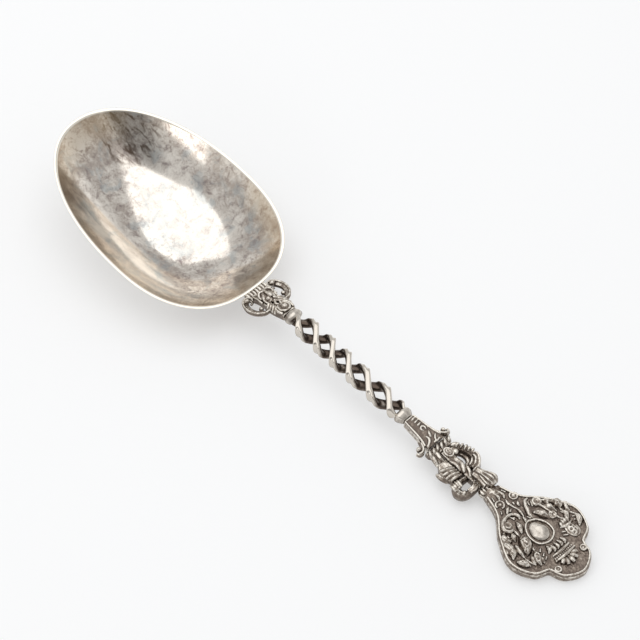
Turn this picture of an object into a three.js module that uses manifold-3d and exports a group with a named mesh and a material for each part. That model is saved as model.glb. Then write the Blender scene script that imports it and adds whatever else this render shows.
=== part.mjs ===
// Ornate silver serving spoon: a raised egg-shaped bowl, a cast mask bracket at its heel, an open
// two-strand twist stem, a pilaster capital, an openwork knop and a lobed relief terminal.
// Millimetres, +Z up. The spoon lies face up along X, bowl at -X, on the plane Z = 0.
import * as THREE from 'three';
import { mergeVertices } from 'three/addons/utils/BufferGeometryUtils.js';
import Module from 'manifold-3d';

const wasm = await Module();
wasm.setup();

const degrees = Math.PI / 180;

// Bowl
const bowlLength = 76;
const bowlWidth = 51.4;
const bowlDepth = 15.4; // rim plane to the outside of the bottom
const widestFromHeel = 32; // the widest place, measured along the rim from the heel
const rimThickness = 0.9;
const wallThickness = 1.1; // at the bottom
const rimTilt = 9.6 * degrees; // tip higher than heel
const tipFullness = 2.1; // superellipse exponents of the two ends of the rim
const heelFullness = 2.45;
const wallFullness = 2.3; // how steeply the wall turns up to the rim
const restFlatDepth = 0.25; // worn flat under the bowl

// Heel bracket
const solderGap = 0.1;
const bracketLength = 14.2;
const bracketRise = 10.5 * degrees;
const bracketDrop = 1.1; // bracket centre line below the rim at the heel
const bracketThickness = 2.4;
const bracketHalfWidth = 2.6;
const bracketRootHalfWidth = 2.9; // beside the strip
const bracketWaistHalfWidth = 2.1; // under the mask
const bracketTailHalfWidth = 2.2;
const stripLength = 1.6;
const stripHalfSpan = 3.7;
const stripHeight = 2;
const gadroonCount = 7;
const gadroonHeight = 0.35;
const maskHalfLength = 3.3;
const maskHalfWidth = 2.5;
const maskHeight = 2.1;
const maskFromHeel = 6.4;
const muzzleHalfLength = 1.7;
const muzzleHalfWidth = 1.1;
const muzzleHeight = 2.6;
const muzzleForward = 1.2; // towards the stem
const dropHalfLength = 2.1;
const dropHalfWidth = 1.4;
const dropHeight = 0.9;
const dropFromEnd = 2.2;
const heelScrollReach = 7.3; // half the span over both side scrolls
const heelScrollBand = 1.8;
const heelScrollEndBand = 0.9;
const heelScrollRoot = 2.3; // where it springs from the bracket, past the middle of the mask
const heelScrollShoulder = 1.3; // past the middle of the mask
const heelScrollShoulderOut = 5;
const heelScrollCrown = 1.6; // widest place, before the middle of the mask
const heelScrollThickness = 2.2;
const heelScrollEye = 0.95; // radius of the ball in the curl
const heelScrollCurlEnd = 210; // bearing round the ball, degrees

// Twist stem: two strands wrung about one line and then pressed flatter
const stemHalfWidth = 4;
const stemHalfHeight = 2.3;
const boreHalfWidth = 1.9;
const boreHalfHeight = 0.4;
const strandArc = 66 * degrees; // each strand's share of the section across the stem
const twistLength = 42;
const twistPitch = 14.3;
const twistPhase = 60 * degrees; // first strand at the heel end, from +Y towards +Z
const twistPress = 0.42; // 1 keeps the round section, less squares it
const twistDrift = 1.5; // the middle turns lie this much nearer the heel
const driftStart = 8.5; // stretch of the twist that drifts
const driftLength = 32;
const strandEndShare = 0.62; // width left at the strands' ends
const strandEndRun = 3.2;
const heelBlockLength = 1.4;
const capitalBlockLength = 2.2;
const blockHalfWidth = 3.1;
const blockHalfHeight = 2;

// Capital
const capitalLength = 10.4;
const capitalNeckHalfWidth = 1.8;
const capitalHalfWidth = 3;
const capitalThickness = 3.2;
const capitalMiddle = 5.7; // where its edges pass the mean width
const voluteReach = 6;
const voluteBand = 1;
const voluteEndBand = 0.8;
const voluteRun = 3.6; // springs from the pilaster this far before its end
const voluteEye = 0.75;
const voluteThickness = 2.6;
const leafLength = 2.8;
const leafHalfWidth = 4.4;
const leafShoulderHalfWidth = 4.2;
const leafEndHalfWidth = 2.7;
const leafThickness = 2.6;

// Knop
const knopLength = 14.6;
const coreHalfWidth = 1.3;
const coreThickness = 3.4;
const loopReach = 7; // outer edge of each loop from the handle's centre line
const rightLoopBand = 2.9;
const leftLoopBand = 1.9;
const loopTop = 1.6; // above the handle's centre line
const loopThickness = 4.2;
const rightLoopSpan = 10.4; // along the handle
const leftLoopSpan = 5.9;
const loopInset = 0.2; // from the knop's ends
const discRadius = 1.5;
const discHeight = 0.9;
const discInset = 0.2;
const budTubeRadius = 0.8;
const budBulbRadius = 1.6;
const budShoulderRadius = 1.2;
const budEndRadius = 0.65;
const budLength = 7;
const budOut = 2.05; // centre line of the bud from the handle's centre line
const wingLength = 5.2;
const wingReach = 6.4;
const wingInnerReach = 4.8;
const wingOuterReach = 5.1;
const wingPoint = 2.1; // along the wing
const wingThickness = 2;
const collarLength = 2.5;
const collarHalfWidth = 2.4;
const collarEndHalfWidth = 1.8;
const collarHalfHeight = 1.7;
const fluteCount = 12;
const fluteDepth = 0.2;

// Terminal
const terminalLength = 34;
const terminalThickness = 2.4;
const terminalLift = 2.4 * degrees; // bend up from the line of the stem
const terminalTopOffset = 2; // top face above the stem's centre line at the neck
const neckHalfWidth = 2.7;
const shoulderHalfWidth = 4.8;
const shoulderFromNeck = 6.2;
const flankHalfWidth = 9.5;
const flankFromNeck = 11.7;
const sideLobeHalfWidth = 13.1;
const sideLobeFromNeck = 19;
const lobeEndHalfWidth = 11; // side lobe where it turns in to the notch
const lobeEndRun = 2.2; // from there to the notch
const notchFromNeck = 27.6;
const notchHalfWidth = 6.9;
const endLobeHalfWidth = 5.2;
const endLobeRun = 2.4; // from its widest shoulder to the tip
const edgeRound = 0.6;
const rimWireWidth = 0.5;
const rimWireHeight = 0.45;
const rimInset = 0.4;
const bossFromNeck = 17.4;
const bossHalfLength = 3.1;
const bossHalfWidth = 2.7;
const bossHeight = 1.3;
const bezelWidth = 0.6;
const bezelHeight = 0.7;
const bezelClearance = 0.25;
const reliefHeight = 0.55;
const terminalScrollBand = 0.6;
const terminalScrollEye = 0.7;
const terminalScrollFromNeck = 11;
const terminalScrollOut = 5.4;
const flowerRadius = 1.9;
const flowerHeight = 0.9;
const flowerFromNeck = 23;
const flowerOut = 7.1;
const crownHalfSpan = 3.8;
const crownLength = 1.9;
const crownFromNeck = 24.9;
const fanLength = 3;
const fanHalfSpan = 2.9;
const fanLobes = 5;
const fanRootHalfSpan = 1.75;
const fanSpread = 140; // degrees
const fanCut = 0.2; // share of its length between the lobes
const endVoluteRadius = 0.8;
const endVoluteOut = 4.6;
const endVolutePastNotch = 1.5;

const silver = { color: 0xc9c4bb, roughness: 0.28, metalness: 1 };
const oxidisedSilver = { color: 0x8d857b, roughness: 0.42, metalness: 1 };

// One named sub-part in its own material
function addPiece(parent, name, geometry, finish = oxidisedSilver) {
  const piece = new THREE.Mesh(geometry, new THREE.MeshStandardMaterial(finish));
  piece.name = name;
  parent.add(piece);
  return piece;
}

function toSolid(geometry) {
  const bare = geometry.clone();
  bare.deleteAttribute('normal');
  bare.deleteAttribute('uv');
  const merged = mergeVertices(bare, 1e-5);
  const corners = merged.index.array;
  const kept = [];
  for (let i = 0; i < corners.length; i += 3) {
    const [a, b, c] = [corners[i], corners[i + 1], corners[i + 2]];
    if (a !== b && b !== c && c !== a) kept.push(a, b, c);
  }
  const vertProperties = Float32Array.from(merged.attributes.position.array);
  return new wasm.Manifold(new wasm.Mesh({ numProp: 3, vertProperties, triVerts: Uint32Array.from(kept) }));
}

function toGeometry(solid) {
  const mesh = solid.getMesh();
  const geometry = new THREE.BufferGeometry();
  geometry.setAttribute('position', new THREE.BufferAttribute(mesh.vertProperties, 3));
  geometry.setIndex(new THREE.BufferAttribute(mesh.triVerts, 1));
  return geometry;
}

// Moves every vertex by a function of its own place
function reshape(geometry, move) {
  const position = geometry.attributes.position;
  const point = new THREE.Vector3();
  for (let i = 0; i < position.count; i += 1) {
    point.fromBufferAttribute(position, i);
    move(point);
    position.setXYZ(i, point.x, point.y, point.z);
  }
  return geometry;
}

// Turns a piece drawn across the handle and raised along z so that it runs along x
function acrossToAlong(geometry, start) {
  return geometry.applyMatrix4(new THREE.Matrix4().set(0, 0, 1, start, 1, 0, 0, 0, 0, 1, 0, 0, 0, 0, 0, 1));
}

// A flat outline raised to a plate that stands on z = floor
function plate(shape, thickness, floor = 0, round = 0) {
  const options = { depth: thickness, bevelEnabled: false, curveSegments: 10 };
  if (round > 0) {
    options.bevelEnabled = true;
    options.depth = thickness - 2 * round;
    options.bevelSize = round;
    options.bevelOffset = -round;
    options.bevelThickness = round;
    options.bevelSegments = 2;
  }
  const geometry = new THREE.ExtrudeGeometry(shape, options);
  geometry.translate(0, 0, floor + round);
  return geometry;
}

// A low dome on a flat foot, oval in plan
function dome(halfLength, halfWidth, height, segments = 20) {
  const profile = [];
  const steps = 5;
  profile.push(new THREE.Vector2(0, 0));
  for (let i = 0; i < steps; i += 1) {
    const turn = (i / steps) * 90 * degrees;
    profile.push(new THREE.Vector2(Math.cos(turn), Math.sin(turn) * height));
  }
  profile.push(new THREE.Vector2(0, height));
  const geometry = new THREE.LatheGeometry(profile, segments);
  geometry.rotateX(90 * degrees);
  geometry.scale(halfLength, halfWidth, 1);
  return geometry;
}

// A band of tapering width along one stretch of a smooth line through a few plan points
function band(points, startWidth, endWidth, from = 0, to = 1, samples = 24) {
  const line = new THREE.SplineCurve(points.map(([x, y]) => new THREE.Vector2(x, y)));
  const left = [];
  const right = [];
  for (let i = 0; i <= samples; i += 1) {
    const share = THREE.MathUtils.lerp(from, to, i / samples);
    const place = line.getPoint(share);
    const along = line.getTangent(share);
    const half = THREE.MathUtils.lerp(startWidth, endWidth, share) / 2;
    left.push(new THREE.Vector2(place.x - along.y * half, place.y + along.x * half));
    right.push(new THREE.Vector2(place.x + along.y * half, place.y - along.x * half));
  }
  return new THREE.Shape([...left, ...right.reverse()]);
}

// A scroll band that curls in to a round eye, joined from short stretches into one solid
function scroll(points, startWidth, endWidth, eyeRadius, thickness, floor, eyeAt = points.at(-1)) {
  const [eyeX, eyeY] = eyeAt;
  const eye = new THREE.CylinderGeometry(eyeRadius, eyeRadius, thickness, 16);
  eye.rotateX(90 * degrees);
  eye.translate(eyeX, eyeY, floor + thickness / 2);
  let solid = toSolid(eye);
  const stretches = 6;
  const lap = 0.02;
  for (let i = 0; i < stretches; i += 1) {
    const from = Math.max(0, i / stretches - lap);
    const stroke = band(points, startWidth, endWidth, from, (i + 1) / stretches, 5);
    solid = solid.add(toSolid(plate(stroke, thickness, floor)));
  }
  return toGeometry(solid);
}

// Points that wind in round an eye, from one bearing to another in degrees
function curl([eyeX, eyeY], fromTurn, toTurn, fromRadius, toRadius, count) {
  const points = [];
  for (let i = 0; i <= count; i += 1) {
    const turn = THREE.MathUtils.lerp(fromTurn, toTurn, i / count) * degrees;
    const radius = THREE.MathUtils.lerp(fromRadius, toRadius, i / count);
    points.push([eyeX + radius * Math.cos(turn), eyeY + radius * Math.sin(turn)]);
  }
  return points;
}

function mirrored(points, side) {
  return points.map(([x, y]) => [x, y * side]);
}

// Cuts a side piece back to a seat that runs along the handle at a distance from its centre line
function seated(geometry, seatHalfWidth) {
  const size = geometry.boundingBox ?? new THREE.Box3().setFromBufferAttribute(geometry.attributes.position);
  const reach = 2 * Math.max(size.max.x, size.max.z - size.min.z);
  const core = new THREE.BoxGeometry(2 * reach, 2 * seatHalfWidth, 2 * reach);
  return toGeometry(toSolid(geometry).subtract(toSolid(core)));
}

function polygon(points) {
  return new THREE.Shape(points.map(([x, y]) => new THREE.Vector2(x, y)));
}

// A closed outline of one smooth edge and its mirror image across the handle's centre line
function mirrorOutline(edge, samples) {
  const line = new THREE.SplineCurve(edge.map(([x, y]) => new THREE.Vector2(x, y)));
  const upper = line.getPoints(samples);
  const lower = upper.map((p) => new THREE.Vector2(p.x, -p.y)).reverse();
  return new THREE.Shape([...upper, ...lower]);
}

// Bowl: a turned half section stretched to the egg-shaped rim, tip towards -X, heel at x = 0

// Distance from the widest place to the rim in one direction, for a rim drawn in by an inset
function rimRadius(turn, inset) {
  const towardsHeel = Math.cos(turn) > 0;
  const reach = (towardsHeel ? widestFromHeel : bowlLength - widestFromHeel) - inset;
  const fullness = towardsHeel ? heelFullness : tipFullness;
  const across = Math.abs(Math.sin(turn)) / (bowlWidth / 2 - inset);
  const along = Math.abs(Math.cos(turn)) / reach;
  return (across ** fullness + along ** fullness) ** (-1 / fullness);
}

function wallDepth(share, depth) {
  return depth * (1 - share ** wallFullness);
}

function bowlGeometry() {
  const rows = 10;
  const segments = 56;
  const inside = [];
  const outside = [];
  for (let i = 0; i <= rows; i += 1) {
    const share = (i / rows) ** 0.8;
    outside.push(new THREE.Vector2(share, -wallDepth(share, bowlDepth)));
    inside.push(new THREE.Vector2(share, -wallDepth(share, bowlDepth - wallThickness)));
  }
  // The inner wall is marked by a lift that the stretch below takes off again
  const insideMark = 10 * bowlDepth;
  const profile = [...outside, ...inside.reverse().map((p) => new THREE.Vector2(p.x, p.y + insideMark))];
  const geometry = new THREE.LatheGeometry(profile, segments);
  geometry.rotateX(90 * degrees);
  return reshape(geometry, (p) => {
    const share = Math.hypot(p.x, p.y);
    const onInside = p.z > bowlDepth;
    const reach = share > 0 ? rimRadius(Math.atan2(p.y, p.x), onInside ? rimThickness : 0) : 0;
    p.x = p.x * reach - widestFromHeel;
    p.y *= reach;
    if (onInside) p.z -= insideMark;
  });
}

// How far the lowest point of the tilted bowl lies below its heel
function bowlDrop() {
  let lowest = 0;
  const steps = 400;
  for (let i = 0; i <= steps; i += 1) {
    const fromHeel = (i / steps) * bowlLength;
    const towardsHeel = fromHeel < widestFromHeel;
    const reach = towardsHeel ? widestFromHeel : bowlLength - widestFromHeel;
    const share = Math.abs(fromHeel - widestFromHeel) / reach;
    const drop = wallDepth(share, bowlDepth) * Math.cos(rimTilt) - fromHeel * Math.sin(rimTilt);
    lowest = Math.max(lowest, drop);
  }
  return lowest;
}

const spoon = new THREE.Group();
const heelHeight = bowlDrop() - restFlatDepth;

const bowl = bowlGeometry();
bowl.rotateY(rimTilt);
bowl.translate(0, 0, heelHeight);
const belowTable = new THREE.BoxGeometry(2 * bowlLength, 2 * bowlWidth, bowlDepth);
belowTable.translate(-bowlLength / 2, 0, -bowlDepth / 2);
addPiece(spoon, 'bowl', toGeometry(toSolid(bowl).subtract(toSolid(belowTable))), silver);

// Heel bracket: rises from the rim to the stem, x along it, z = 0 through its middle

const bracket = new THREE.Group();
bracket.position.set(0, 0, heelHeight - bracketDrop);
bracket.rotation.y = -bracketRise;
spoon.add(bracket);

const stripStart = 3 * solderGap;
const plateStart = stripStart + stripLength + solderGap;
const bracketTop = bracketThickness / 2;

function gadroonStrip() {
  const outline = [[-stripHalfSpan, -stripHeight / 2], [stripHalfSpan, -stripHeight / 2]];
  const perReed = 6;
  const width = (2 * stripHalfSpan) / gadroonCount;
  for (let i = 0; i <= gadroonCount * perReed; i += 1) {
    const bulge = Math.abs(Math.sin((i / perReed) * 180 * degrees));
    const height = stripHeight / 2 - gadroonHeight + gadroonHeight * bulge;
    outline.push([stripHalfSpan - (i / perReed) * width, height]);
  }
  return acrossToAlong(plate(polygon(outline), stripLength), stripStart);
}
addPiece(bracket, 'heel_gadroon_strip', gadroonStrip());

const bracketEdge = [
  [plateStart, bracketRootHalfWidth],
  [maskFromHeel - maskHalfLength / 2, bracketWaistHalfWidth],
  [maskFromHeel + maskHalfLength, bracketHalfWidth],
  [bracketLength, bracketTailHalfWidth],
];
addPiece(bracket, 'heel_bracket', plate(mirrorOutline(bracketEdge, 12), bracketThickness, -bracketTop));

function maskGeometry() {
  const head = toSolid(dome(maskHalfLength, maskHalfWidth, maskHeight));
  const muzzle = dome(muzzleHalfLength, muzzleHalfWidth, muzzleHeight);
  muzzle.translate(muzzleForward, 0, 0);
  const mask = toGeometry(head.add(toSolid(muzzle)));
  mask.translate(maskFromHeel, 0, bracketTop + solderGap);
  return mask;
}
addPiece(bracket, 'heel_mask', maskGeometry());

const drop = dome(dropHalfLength, dropHalfWidth, dropHeight);
drop.translate(bracketLength - dropFromEnd, 0, bracketTop + solderGap);
addPiece(bracket, 'heel_drop', drop, silver);

// Each side scroll springs from the bracket's waist, swings out and curls in behind the strip
const scrollMiddle = heelScrollReach - heelScrollBand / 2;
const scrollSeat = bracketHalfWidth + 2 * solderGap;
const scrollStart = stripStart + heelScrollBand;
const heelScrollEyeAt = [scrollStart + heelScrollEye, stripHalfSpan + heelScrollEye + 3 * solderGap];
const heelScrollLine = [
  [maskFromHeel + heelScrollRoot, bracketHalfWidth],
  [maskFromHeel + heelScrollShoulder, heelScrollShoulderOut],
  [maskFromHeel - heelScrollCrown, scrollMiddle],
  ...curl(heelScrollEyeAt, 90, heelScrollCurlEnd, scrollMiddle - heelScrollEyeAt[1], heelScrollEye, 4),
];
for (const [side, hand] of [[-1, 'left'], [1, 'right']]) {
  const line = mirrored(heelScrollLine, side);
  const geometry = scroll(
    line, heelScrollBand, heelScrollEndBand, heelScrollEye, heelScrollThickness, -heelScrollThickness / 2,
    mirrored([heelScrollEyeAt], side)[0]);
  addPiece(bracket, `heel_scroll_${hand}`, seated(geometry, scrollSeat));
}

// Handle: x along the stem from the end of the bracket, z = 0 through its middle

const stemEnd = heelBlockLength + twistLength + capitalBlockLength + 2 * solderGap;
const knopStart = stemEnd + solderGap + capitalLength + solderGap + leafLength + solderGap;
const terminalStart = knopStart + knopLength + solderGap + collarLength + solderGap;

// The fall of the handle that brings the tip of the terminal down to the table
const stemStartHeight = heelHeight - bracketDrop + bracketLength * Math.sin(bracketRise);
const underside = terminalThickness - terminalTopOffset;
const straight =
  terminalStart + terminalLength * Math.cos(terminalLift) + underside * Math.sin(terminalLift);
const lifted = terminalLength * Math.sin(terminalLift) - underside * Math.cos(terminalLift);
const handleFall = Math.asin(stemStartHeight / Math.hypot(straight, lifted)) + Math.atan2(lifted, straight);

// At the bend the two end faces close up towards the underside
const bendGap = bracketTop * Math.sin(bracketRise) + bracketTailHalfWidth * Math.sin(handleFall);

const handle = new THREE.Group();
handle.position.set(bracketLength * Math.cos(bracketRise) + bendGap + solderGap, 0, stemStartHeight);
handle.rotation.y = handleFall;
spoon.add(handle);

// A flattened round block that the strands' ends are soldered to
function stemBlock(start, length, startHalfWidth, endHalfWidth) {
  const geometry = new THREE.CylinderGeometry(endHalfWidth, startHalfWidth, length, 20);
  geometry.rotateZ(-90 * degrees);
  geometry.scale(1, 1, blockHalfHeight / blockHalfWidth);
  geometry.translate(start + length / 2, 0, 0);
  return geometry;
}
const twistStart = heelBlockLength + solderGap;
const twistEnd = twistStart + twistLength;
addPiece(handle, 'stem_block_heel', stemBlock(0, heelBlockLength, bracketTailHalfWidth, blockHalfWidth));
addPiece(
  handle, 'stem_block_capital',
  stemBlock(twistEnd + solderGap, capitalBlockLength, blockHalfWidth, capitalNeckHalfWidth));

// A straight bar of ring-sector section, wrung about the stem's centre line and pressed flatter,
// so that it runs straight from a tooth on one side to a tooth on the other
function strand(phase) {
  const section = new THREE.Shape();
  section.absarc(0, 0, stemHalfWidth, -strandArc / 2, strandArc / 2, false);
  section.absarc(0, 0, boreHalfWidth, strandArc / 2, -strandArc / 2, true);
  const stepsPerTurn = 32;
  const steps = Math.ceil((twistLength / twistPitch) * stepsPerTurn);
  const options = { depth: twistLength, steps, bevelEnabled: false, curveSegments: 3 };
  const bar = new THREE.ExtrudeGeometry(section, options);
  const axis = new THREE.Vector3(0, 0, 1);
  reshape(bar, (p) => {
    p.applyAxisAngle(axis, phase + (p.z / twistPitch) * 360 * degrees);
    const fromEnd = Math.min(p.z, twistLength - p.z);
    const full = THREE.MathUtils.smoothstep(fromEnd, 0, strandEndRun);
    const width = THREE.MathUtils.lerp(strandEndShare, 1, full);
    const bearing = Math.atan2(p.y, p.x);
    const across = 1 - (2 * Math.abs(bearing)) / (180 * degrees);
    const upright = Math.sqrt(Math.max(0, 1 - across ** 2));
    const radius = Math.hypot(p.x, p.y);
    const outward = (radius - boreHalfWidth) / (stemHalfWidth - boreHalfWidth);
    const outerHeight = stemHalfHeight * upright ** twistPress;
    const height = THREE.MathUtils.lerp(boreHalfHeight * upright, outerHeight, outward);
    const drifting = THREE.MathUtils.clamp((p.z - driftStart) / driftLength, 0, 1);
    p.x = radius * across * width;
    p.y = Math.sign(bearing) * height * width;
    p.z -= twistDrift * Math.sin(drifting * 180 * degrees) ** 2;
  });
  return acrossToAlong(bar, twistStart);
}
addPiece(handle, 'twist_strand_a', strand(twistPhase), silver);
addPiece(handle, 'twist_strand_b', strand(twistPhase + 180 * degrees), silver);

// Capital: a tapering pilaster with a hooked volute at each side and a leaf beyond it

const capital = new THREE.Group();
capital.position.x = stemEnd + solderGap;
handle.add(capital);
const capitalFloor = -capitalThickness / 2;
const capitalEdge = [
  [0, capitalNeckHalfWidth],
  [capitalMiddle, (capitalNeckHalfWidth + capitalHalfWidth) / 2],
  [capitalLength, capitalHalfWidth],
];
addPiece(capital, 'capital_shaft', plate(mirrorOutline(capitalEdge, 8), capitalThickness, capitalFloor));

// Each volute springs along the pilaster's side, swings out and hooks round its eye
const voluteEyeAt = [capitalLength - voluteBand - voluteEye, voluteReach - voluteEye - voluteBand / 2];
const voluteLine = [
  [capitalLength - voluteRun, capitalHalfWidth],
  ...curl(voluteEyeAt, -40, 110, voluteEye + voluteBand / 2, voluteEye, 4),
];
const seatEdge = capitalEdge.map(([x, y]) => [x, y + solderGap]);
const shaftSeat = toSolid(plate(mirrorOutline(seatEdge, 8), 2 * capitalThickness, -capitalThickness));
for (const [side, hand] of [[-1, 'left'], [1, 'right']]) {
  const geometry = scroll(
    mirrored(voluteLine, side), voluteBand, voluteEndBand, voluteEye, voluteThickness, capitalFloor,
    mirrored([voluteEyeAt], side)[0]);
  addPiece(capital, `capital_volute_${hand}`, toGeometry(toSolid(geometry).subtract(shaftSeat)));
}

const leafStart = capitalLength + solderGap;
const leafEdge = [
  [leafStart, leafHalfWidth],
  [leafStart + leafLength / 2, leafShoulderHalfWidth],
  [leafStart + leafLength, leafEndHalfWidth],
];
addPiece(capital, 'capital_leaf', plate(mirrorOutline(leafEdge, 8), leafThickness, -leafThickness / 2));

// Knop: a core with a pierced loop on each side, turned half round from one to the other

const knop = new THREE.Group();
knop.position.x = knopStart;
handle.add(knop);
const coreTop = coreThickness / 2;
const coreShape = polygon([
  [0, -coreHalfWidth],
  [knopLength, -coreHalfWidth],
  [knopLength, coreHalfWidth],
  [0, coreHalfWidth],
]);
addPiece(knop, 'knop_core', plate(coreShape, coreThickness, -coreTop));

// A pierced loop that stands off the core; its two feet rest along the core's side
function knopLoop(start, span, width, side) {
  const middle = loopReach - width / 2;
  const first = start + width / 2;
  const last = start + span - width / 2;
  const quarter = (last - first) / 4;
  const line = [
    [first, coreHalfWidth / 2],
    [first, (coreHalfWidth + middle) / 2],
    [first + quarter, middle],
    [last - quarter, middle],
    [last, (coreHalfWidth + middle) / 2],
    [last, coreHalfWidth / 2],
  ];
  const loop = plate(band(mirrored(line, side), width, width), loopThickness, loopTop - loopThickness);
  return seated(loop, coreHalfWidth + solderGap);
}
addPiece(knop, 'knop_loop_right', knopLoop(loopInset, rightLoopSpan, rightLoopBand, 1));
const leftLoopStart = knopLength - leftLoopSpan - loopInset;
addPiece(knop, 'knop_loop_left', knopLoop(leftLoopStart, leftLoopSpan, leftLoopBand, -1));

const wingStart = leftLoopStart - wingLength - loopInset;
const wingRoot = coreHalfWidth + solderGap;
const wingShape = polygon([
  [wingStart, -wingRoot],
  [wingStart + wingLength, -wingRoot],
  [wingStart + wingLength, -wingOuterReach],
  [wingStart + wingPoint, -wingReach],
  [wingStart, -wingInnerReach],
]);
addPiece(knop, 'knop_wing', plate(wingShape, wingThickness, -wingThickness / 2));

const disc = dome(discRadius, coreHalfWidth, discHeight, 16);
disc.translate(discRadius + discInset, 0, coreTop + solderGap);
addPiece(knop, 'knop_volute_disc', disc);

// Flutes round a turned piece that lies along x: each ring of radius r is cut in by the same depth
function fluted(geometry) {
  return reshape(geometry, (p) => {
    const radius = Math.hypot(p.y, p.z);
    const cut = fluteDepth * (0.5 + 0.5 * Math.cos(Math.atan2(p.z, p.y) * fluteCount));
    const share = radius > fluteDepth ? (radius - cut) / radius : 1;
    p.y *= share;
    p.z *= share;
  });
}

// A bud on a short tube above the core, swelling to a fluted bulb over the neck
function budGeometry() {
  const bulbMiddle = budLength - budBulbRadius;
  const profile = [
    new THREE.Vector2(0, 0),
    new THREE.Vector2(budTubeRadius, 0),
    new THREE.Vector2(budTubeRadius, bulbMiddle - 1.5 * budBulbRadius),
    new THREE.Vector2(budShoulderRadius, bulbMiddle - budBulbRadius * Math.SQRT1_2),
    new THREE.Vector2(budBulbRadius, bulbMiddle),
    new THREE.Vector2(budShoulderRadius, bulbMiddle + budBulbRadius * Math.SQRT1_2),
    new THREE.Vector2(budEndRadius, budLength),
    new THREE.Vector2(0, budLength),
  ];
  const geometry = new THREE.LatheGeometry(profile, fluteCount * 2);
  geometry.rotateZ(-90 * degrees);
  fluted(geometry);
  geometry.translate(budStart, budOut, coreTop + solderGap + budTubeRadius);
  return geometry;
}
const budStart = knopLength + collarLength - budLength;
addPiece(knop, 'knop_bud', budGeometry());

// Fluted collar between the knop and the terminal's neck
function collarGeometry() {
  const steps = 4;
  const profile = [new THREE.Vector2(0, 0)];
  for (let i = 0; i <= steps; i += 1) {
    const swell = Math.sin((i / steps) * 180 * degrees);
    const radius = THREE.MathUtils.lerp(collarEndHalfWidth, collarHalfWidth, swell);
    profile.push(new THREE.Vector2(radius, (i / steps) * collarLength));
  }
  profile.push(new THREE.Vector2(0, collarLength));
  const geometry = new THREE.LatheGeometry(profile, fluteCount * 2);
  geometry.rotateZ(-90 * degrees);
  fluted(geometry);
  geometry.scale(1, 1, collarHalfHeight / collarHalfWidth);
  geometry.translate(knopLength + solderGap, 0, 0);
  return geometry;
}
addPiece(knop, 'knop_collar', collarGeometry());

// Terminal: a lobed plate with a raised edge and applied relief, z = 0 on its top face

const terminal = new THREE.Group();
terminal.position.x = terminalStart;
terminal.rotation.y = -terminalLift;
handle.add(terminal);
const field = new THREE.Group();
field.position.z = terminalTopOffset;
terminal.add(field);

// Outline drawn in by an inset: neck, side lobe, notch and end lobe, then mirrored
function terminalShape(inset, start = 0) {
  const side = [
    [start, neckHalfWidth - inset],
    [shoulderFromNeck + inset * 0.5, shoulderHalfWidth - inset],
    [flankFromNeck + inset * 0.5, flankHalfWidth - inset],
    [sideLobeFromNeck, sideLobeHalfWidth - inset],
    [notchFromNeck - lobeEndRun - inset, lobeEndHalfWidth - inset],
    [notchFromNeck - inset, notchHalfWidth - inset * 0.4],
  ];
  const end = [
    [notchFromNeck - inset * 0.2, notchHalfWidth - inset],
    [terminalLength - endLobeRun - inset * 0.7, endLobeHalfWidth - inset * 0.7],
    [terminalLength - inset, 0],
  ];
  const toVectors = (points) => points.map(([x, y]) => new THREE.Vector2(x, y));
  const sideLine = new THREE.SplineCurve(toVectors(side)).getPoints(24);
  const farEnd = mirrored(end, -1).reverse().slice(1);
  const endCurve = new THREE.SplineCurve(toVectors([...end, ...farEnd]));
  const endLine = endCurve.getPoints(28);
  const farSide = sideLine.map((p) => new THREE.Vector2(p.x, -p.y)).reverse();
  return new THREE.Shape([...sideLine, ...endLine, ...farSide]);
}
addPiece(field, 'terminal_plate', plate(terminalShape(0), terminalThickness, -terminalThickness, edgeRound));

const reliefFloor = solderGap;
// The wire runs along the edge from one side of the neck round to the other
const rimWireOuter = toSolid(plate(terminalShape(rimInset, rimInset), rimWireHeight, reliefFloor));
const rimWireInner = toSolid(plate(terminalShape(rimInset + rimWireWidth, -rimInset), 3 * rimWireHeight));
addPiece(field, 'terminal_rim_wire', toGeometry(rimWireOuter.subtract(rimWireInner)), silver);

function oval(halfLength, halfWidth) {
  const shape = new THREE.Shape();
  shape.absellipse(bossFromNeck, 0, halfLength, halfWidth, 0, 360 * degrees, false, 0);
  return shape;
}
const bezelOuter = bezelClearance + bezelWidth;
const bezel = oval(bossHalfLength + bezelOuter, bossHalfWidth + bezelOuter);
bezel.holes.push(oval(bossHalfLength + bezelClearance, bossHalfWidth + bezelClearance));
addPiece(field, 'boss_bezel', plate(bezel, bezelHeight, reliefFloor), silver);
const cabochon = dome(bossHalfLength, bossHalfWidth, bossHeight, 28);
cabochon.translate(bossFromNeck, 0, reliefFloor);
addPiece(field, 'boss_cabochon', cabochon, silver);

const terminalScrollEyeAt = [terminalScrollFromNeck, terminalScrollOut];
const terminalScrollLine = [
  [bossFromNeck - bossHalfLength - bezelOuter - terminalScrollBand, terminalScrollBand],
  ...curl(
    terminalScrollEyeAt, 262, -10, terminalScrollEye + terminalScrollBand * 1.5,
    terminalScrollEye + terminalScrollBand * 0.3, 5),
];
for (const [side, hand] of [[-1, 'left'], [1, 'right']]) {
  const geometry = scroll(
    mirrored(terminalScrollLine, side), terminalScrollBand * 0.6, terminalScrollBand, terminalScrollEye,
    reliefHeight, reliefFloor, mirrored([terminalScrollEyeAt], side)[0]);
  addPiece(field, `terminal_scroll_${hand}`, geometry);
  const flower = dome(flowerRadius, flowerRadius, flowerHeight, 18);
  flower.translate(flowerFromNeck, side * flowerOut, reliefFloor);
  addPiece(field, `terminal_flower_${hand}`, flower);
  const volute = dome(endVoluteRadius, endVoluteRadius, reliefHeight, 14);
  volute.translate(notchFromNeck + endVolutePastNotch, side * endVoluteOut, reliefFloor);
  addPiece(field, `end_volute_${hand}`, volute);
}

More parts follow.
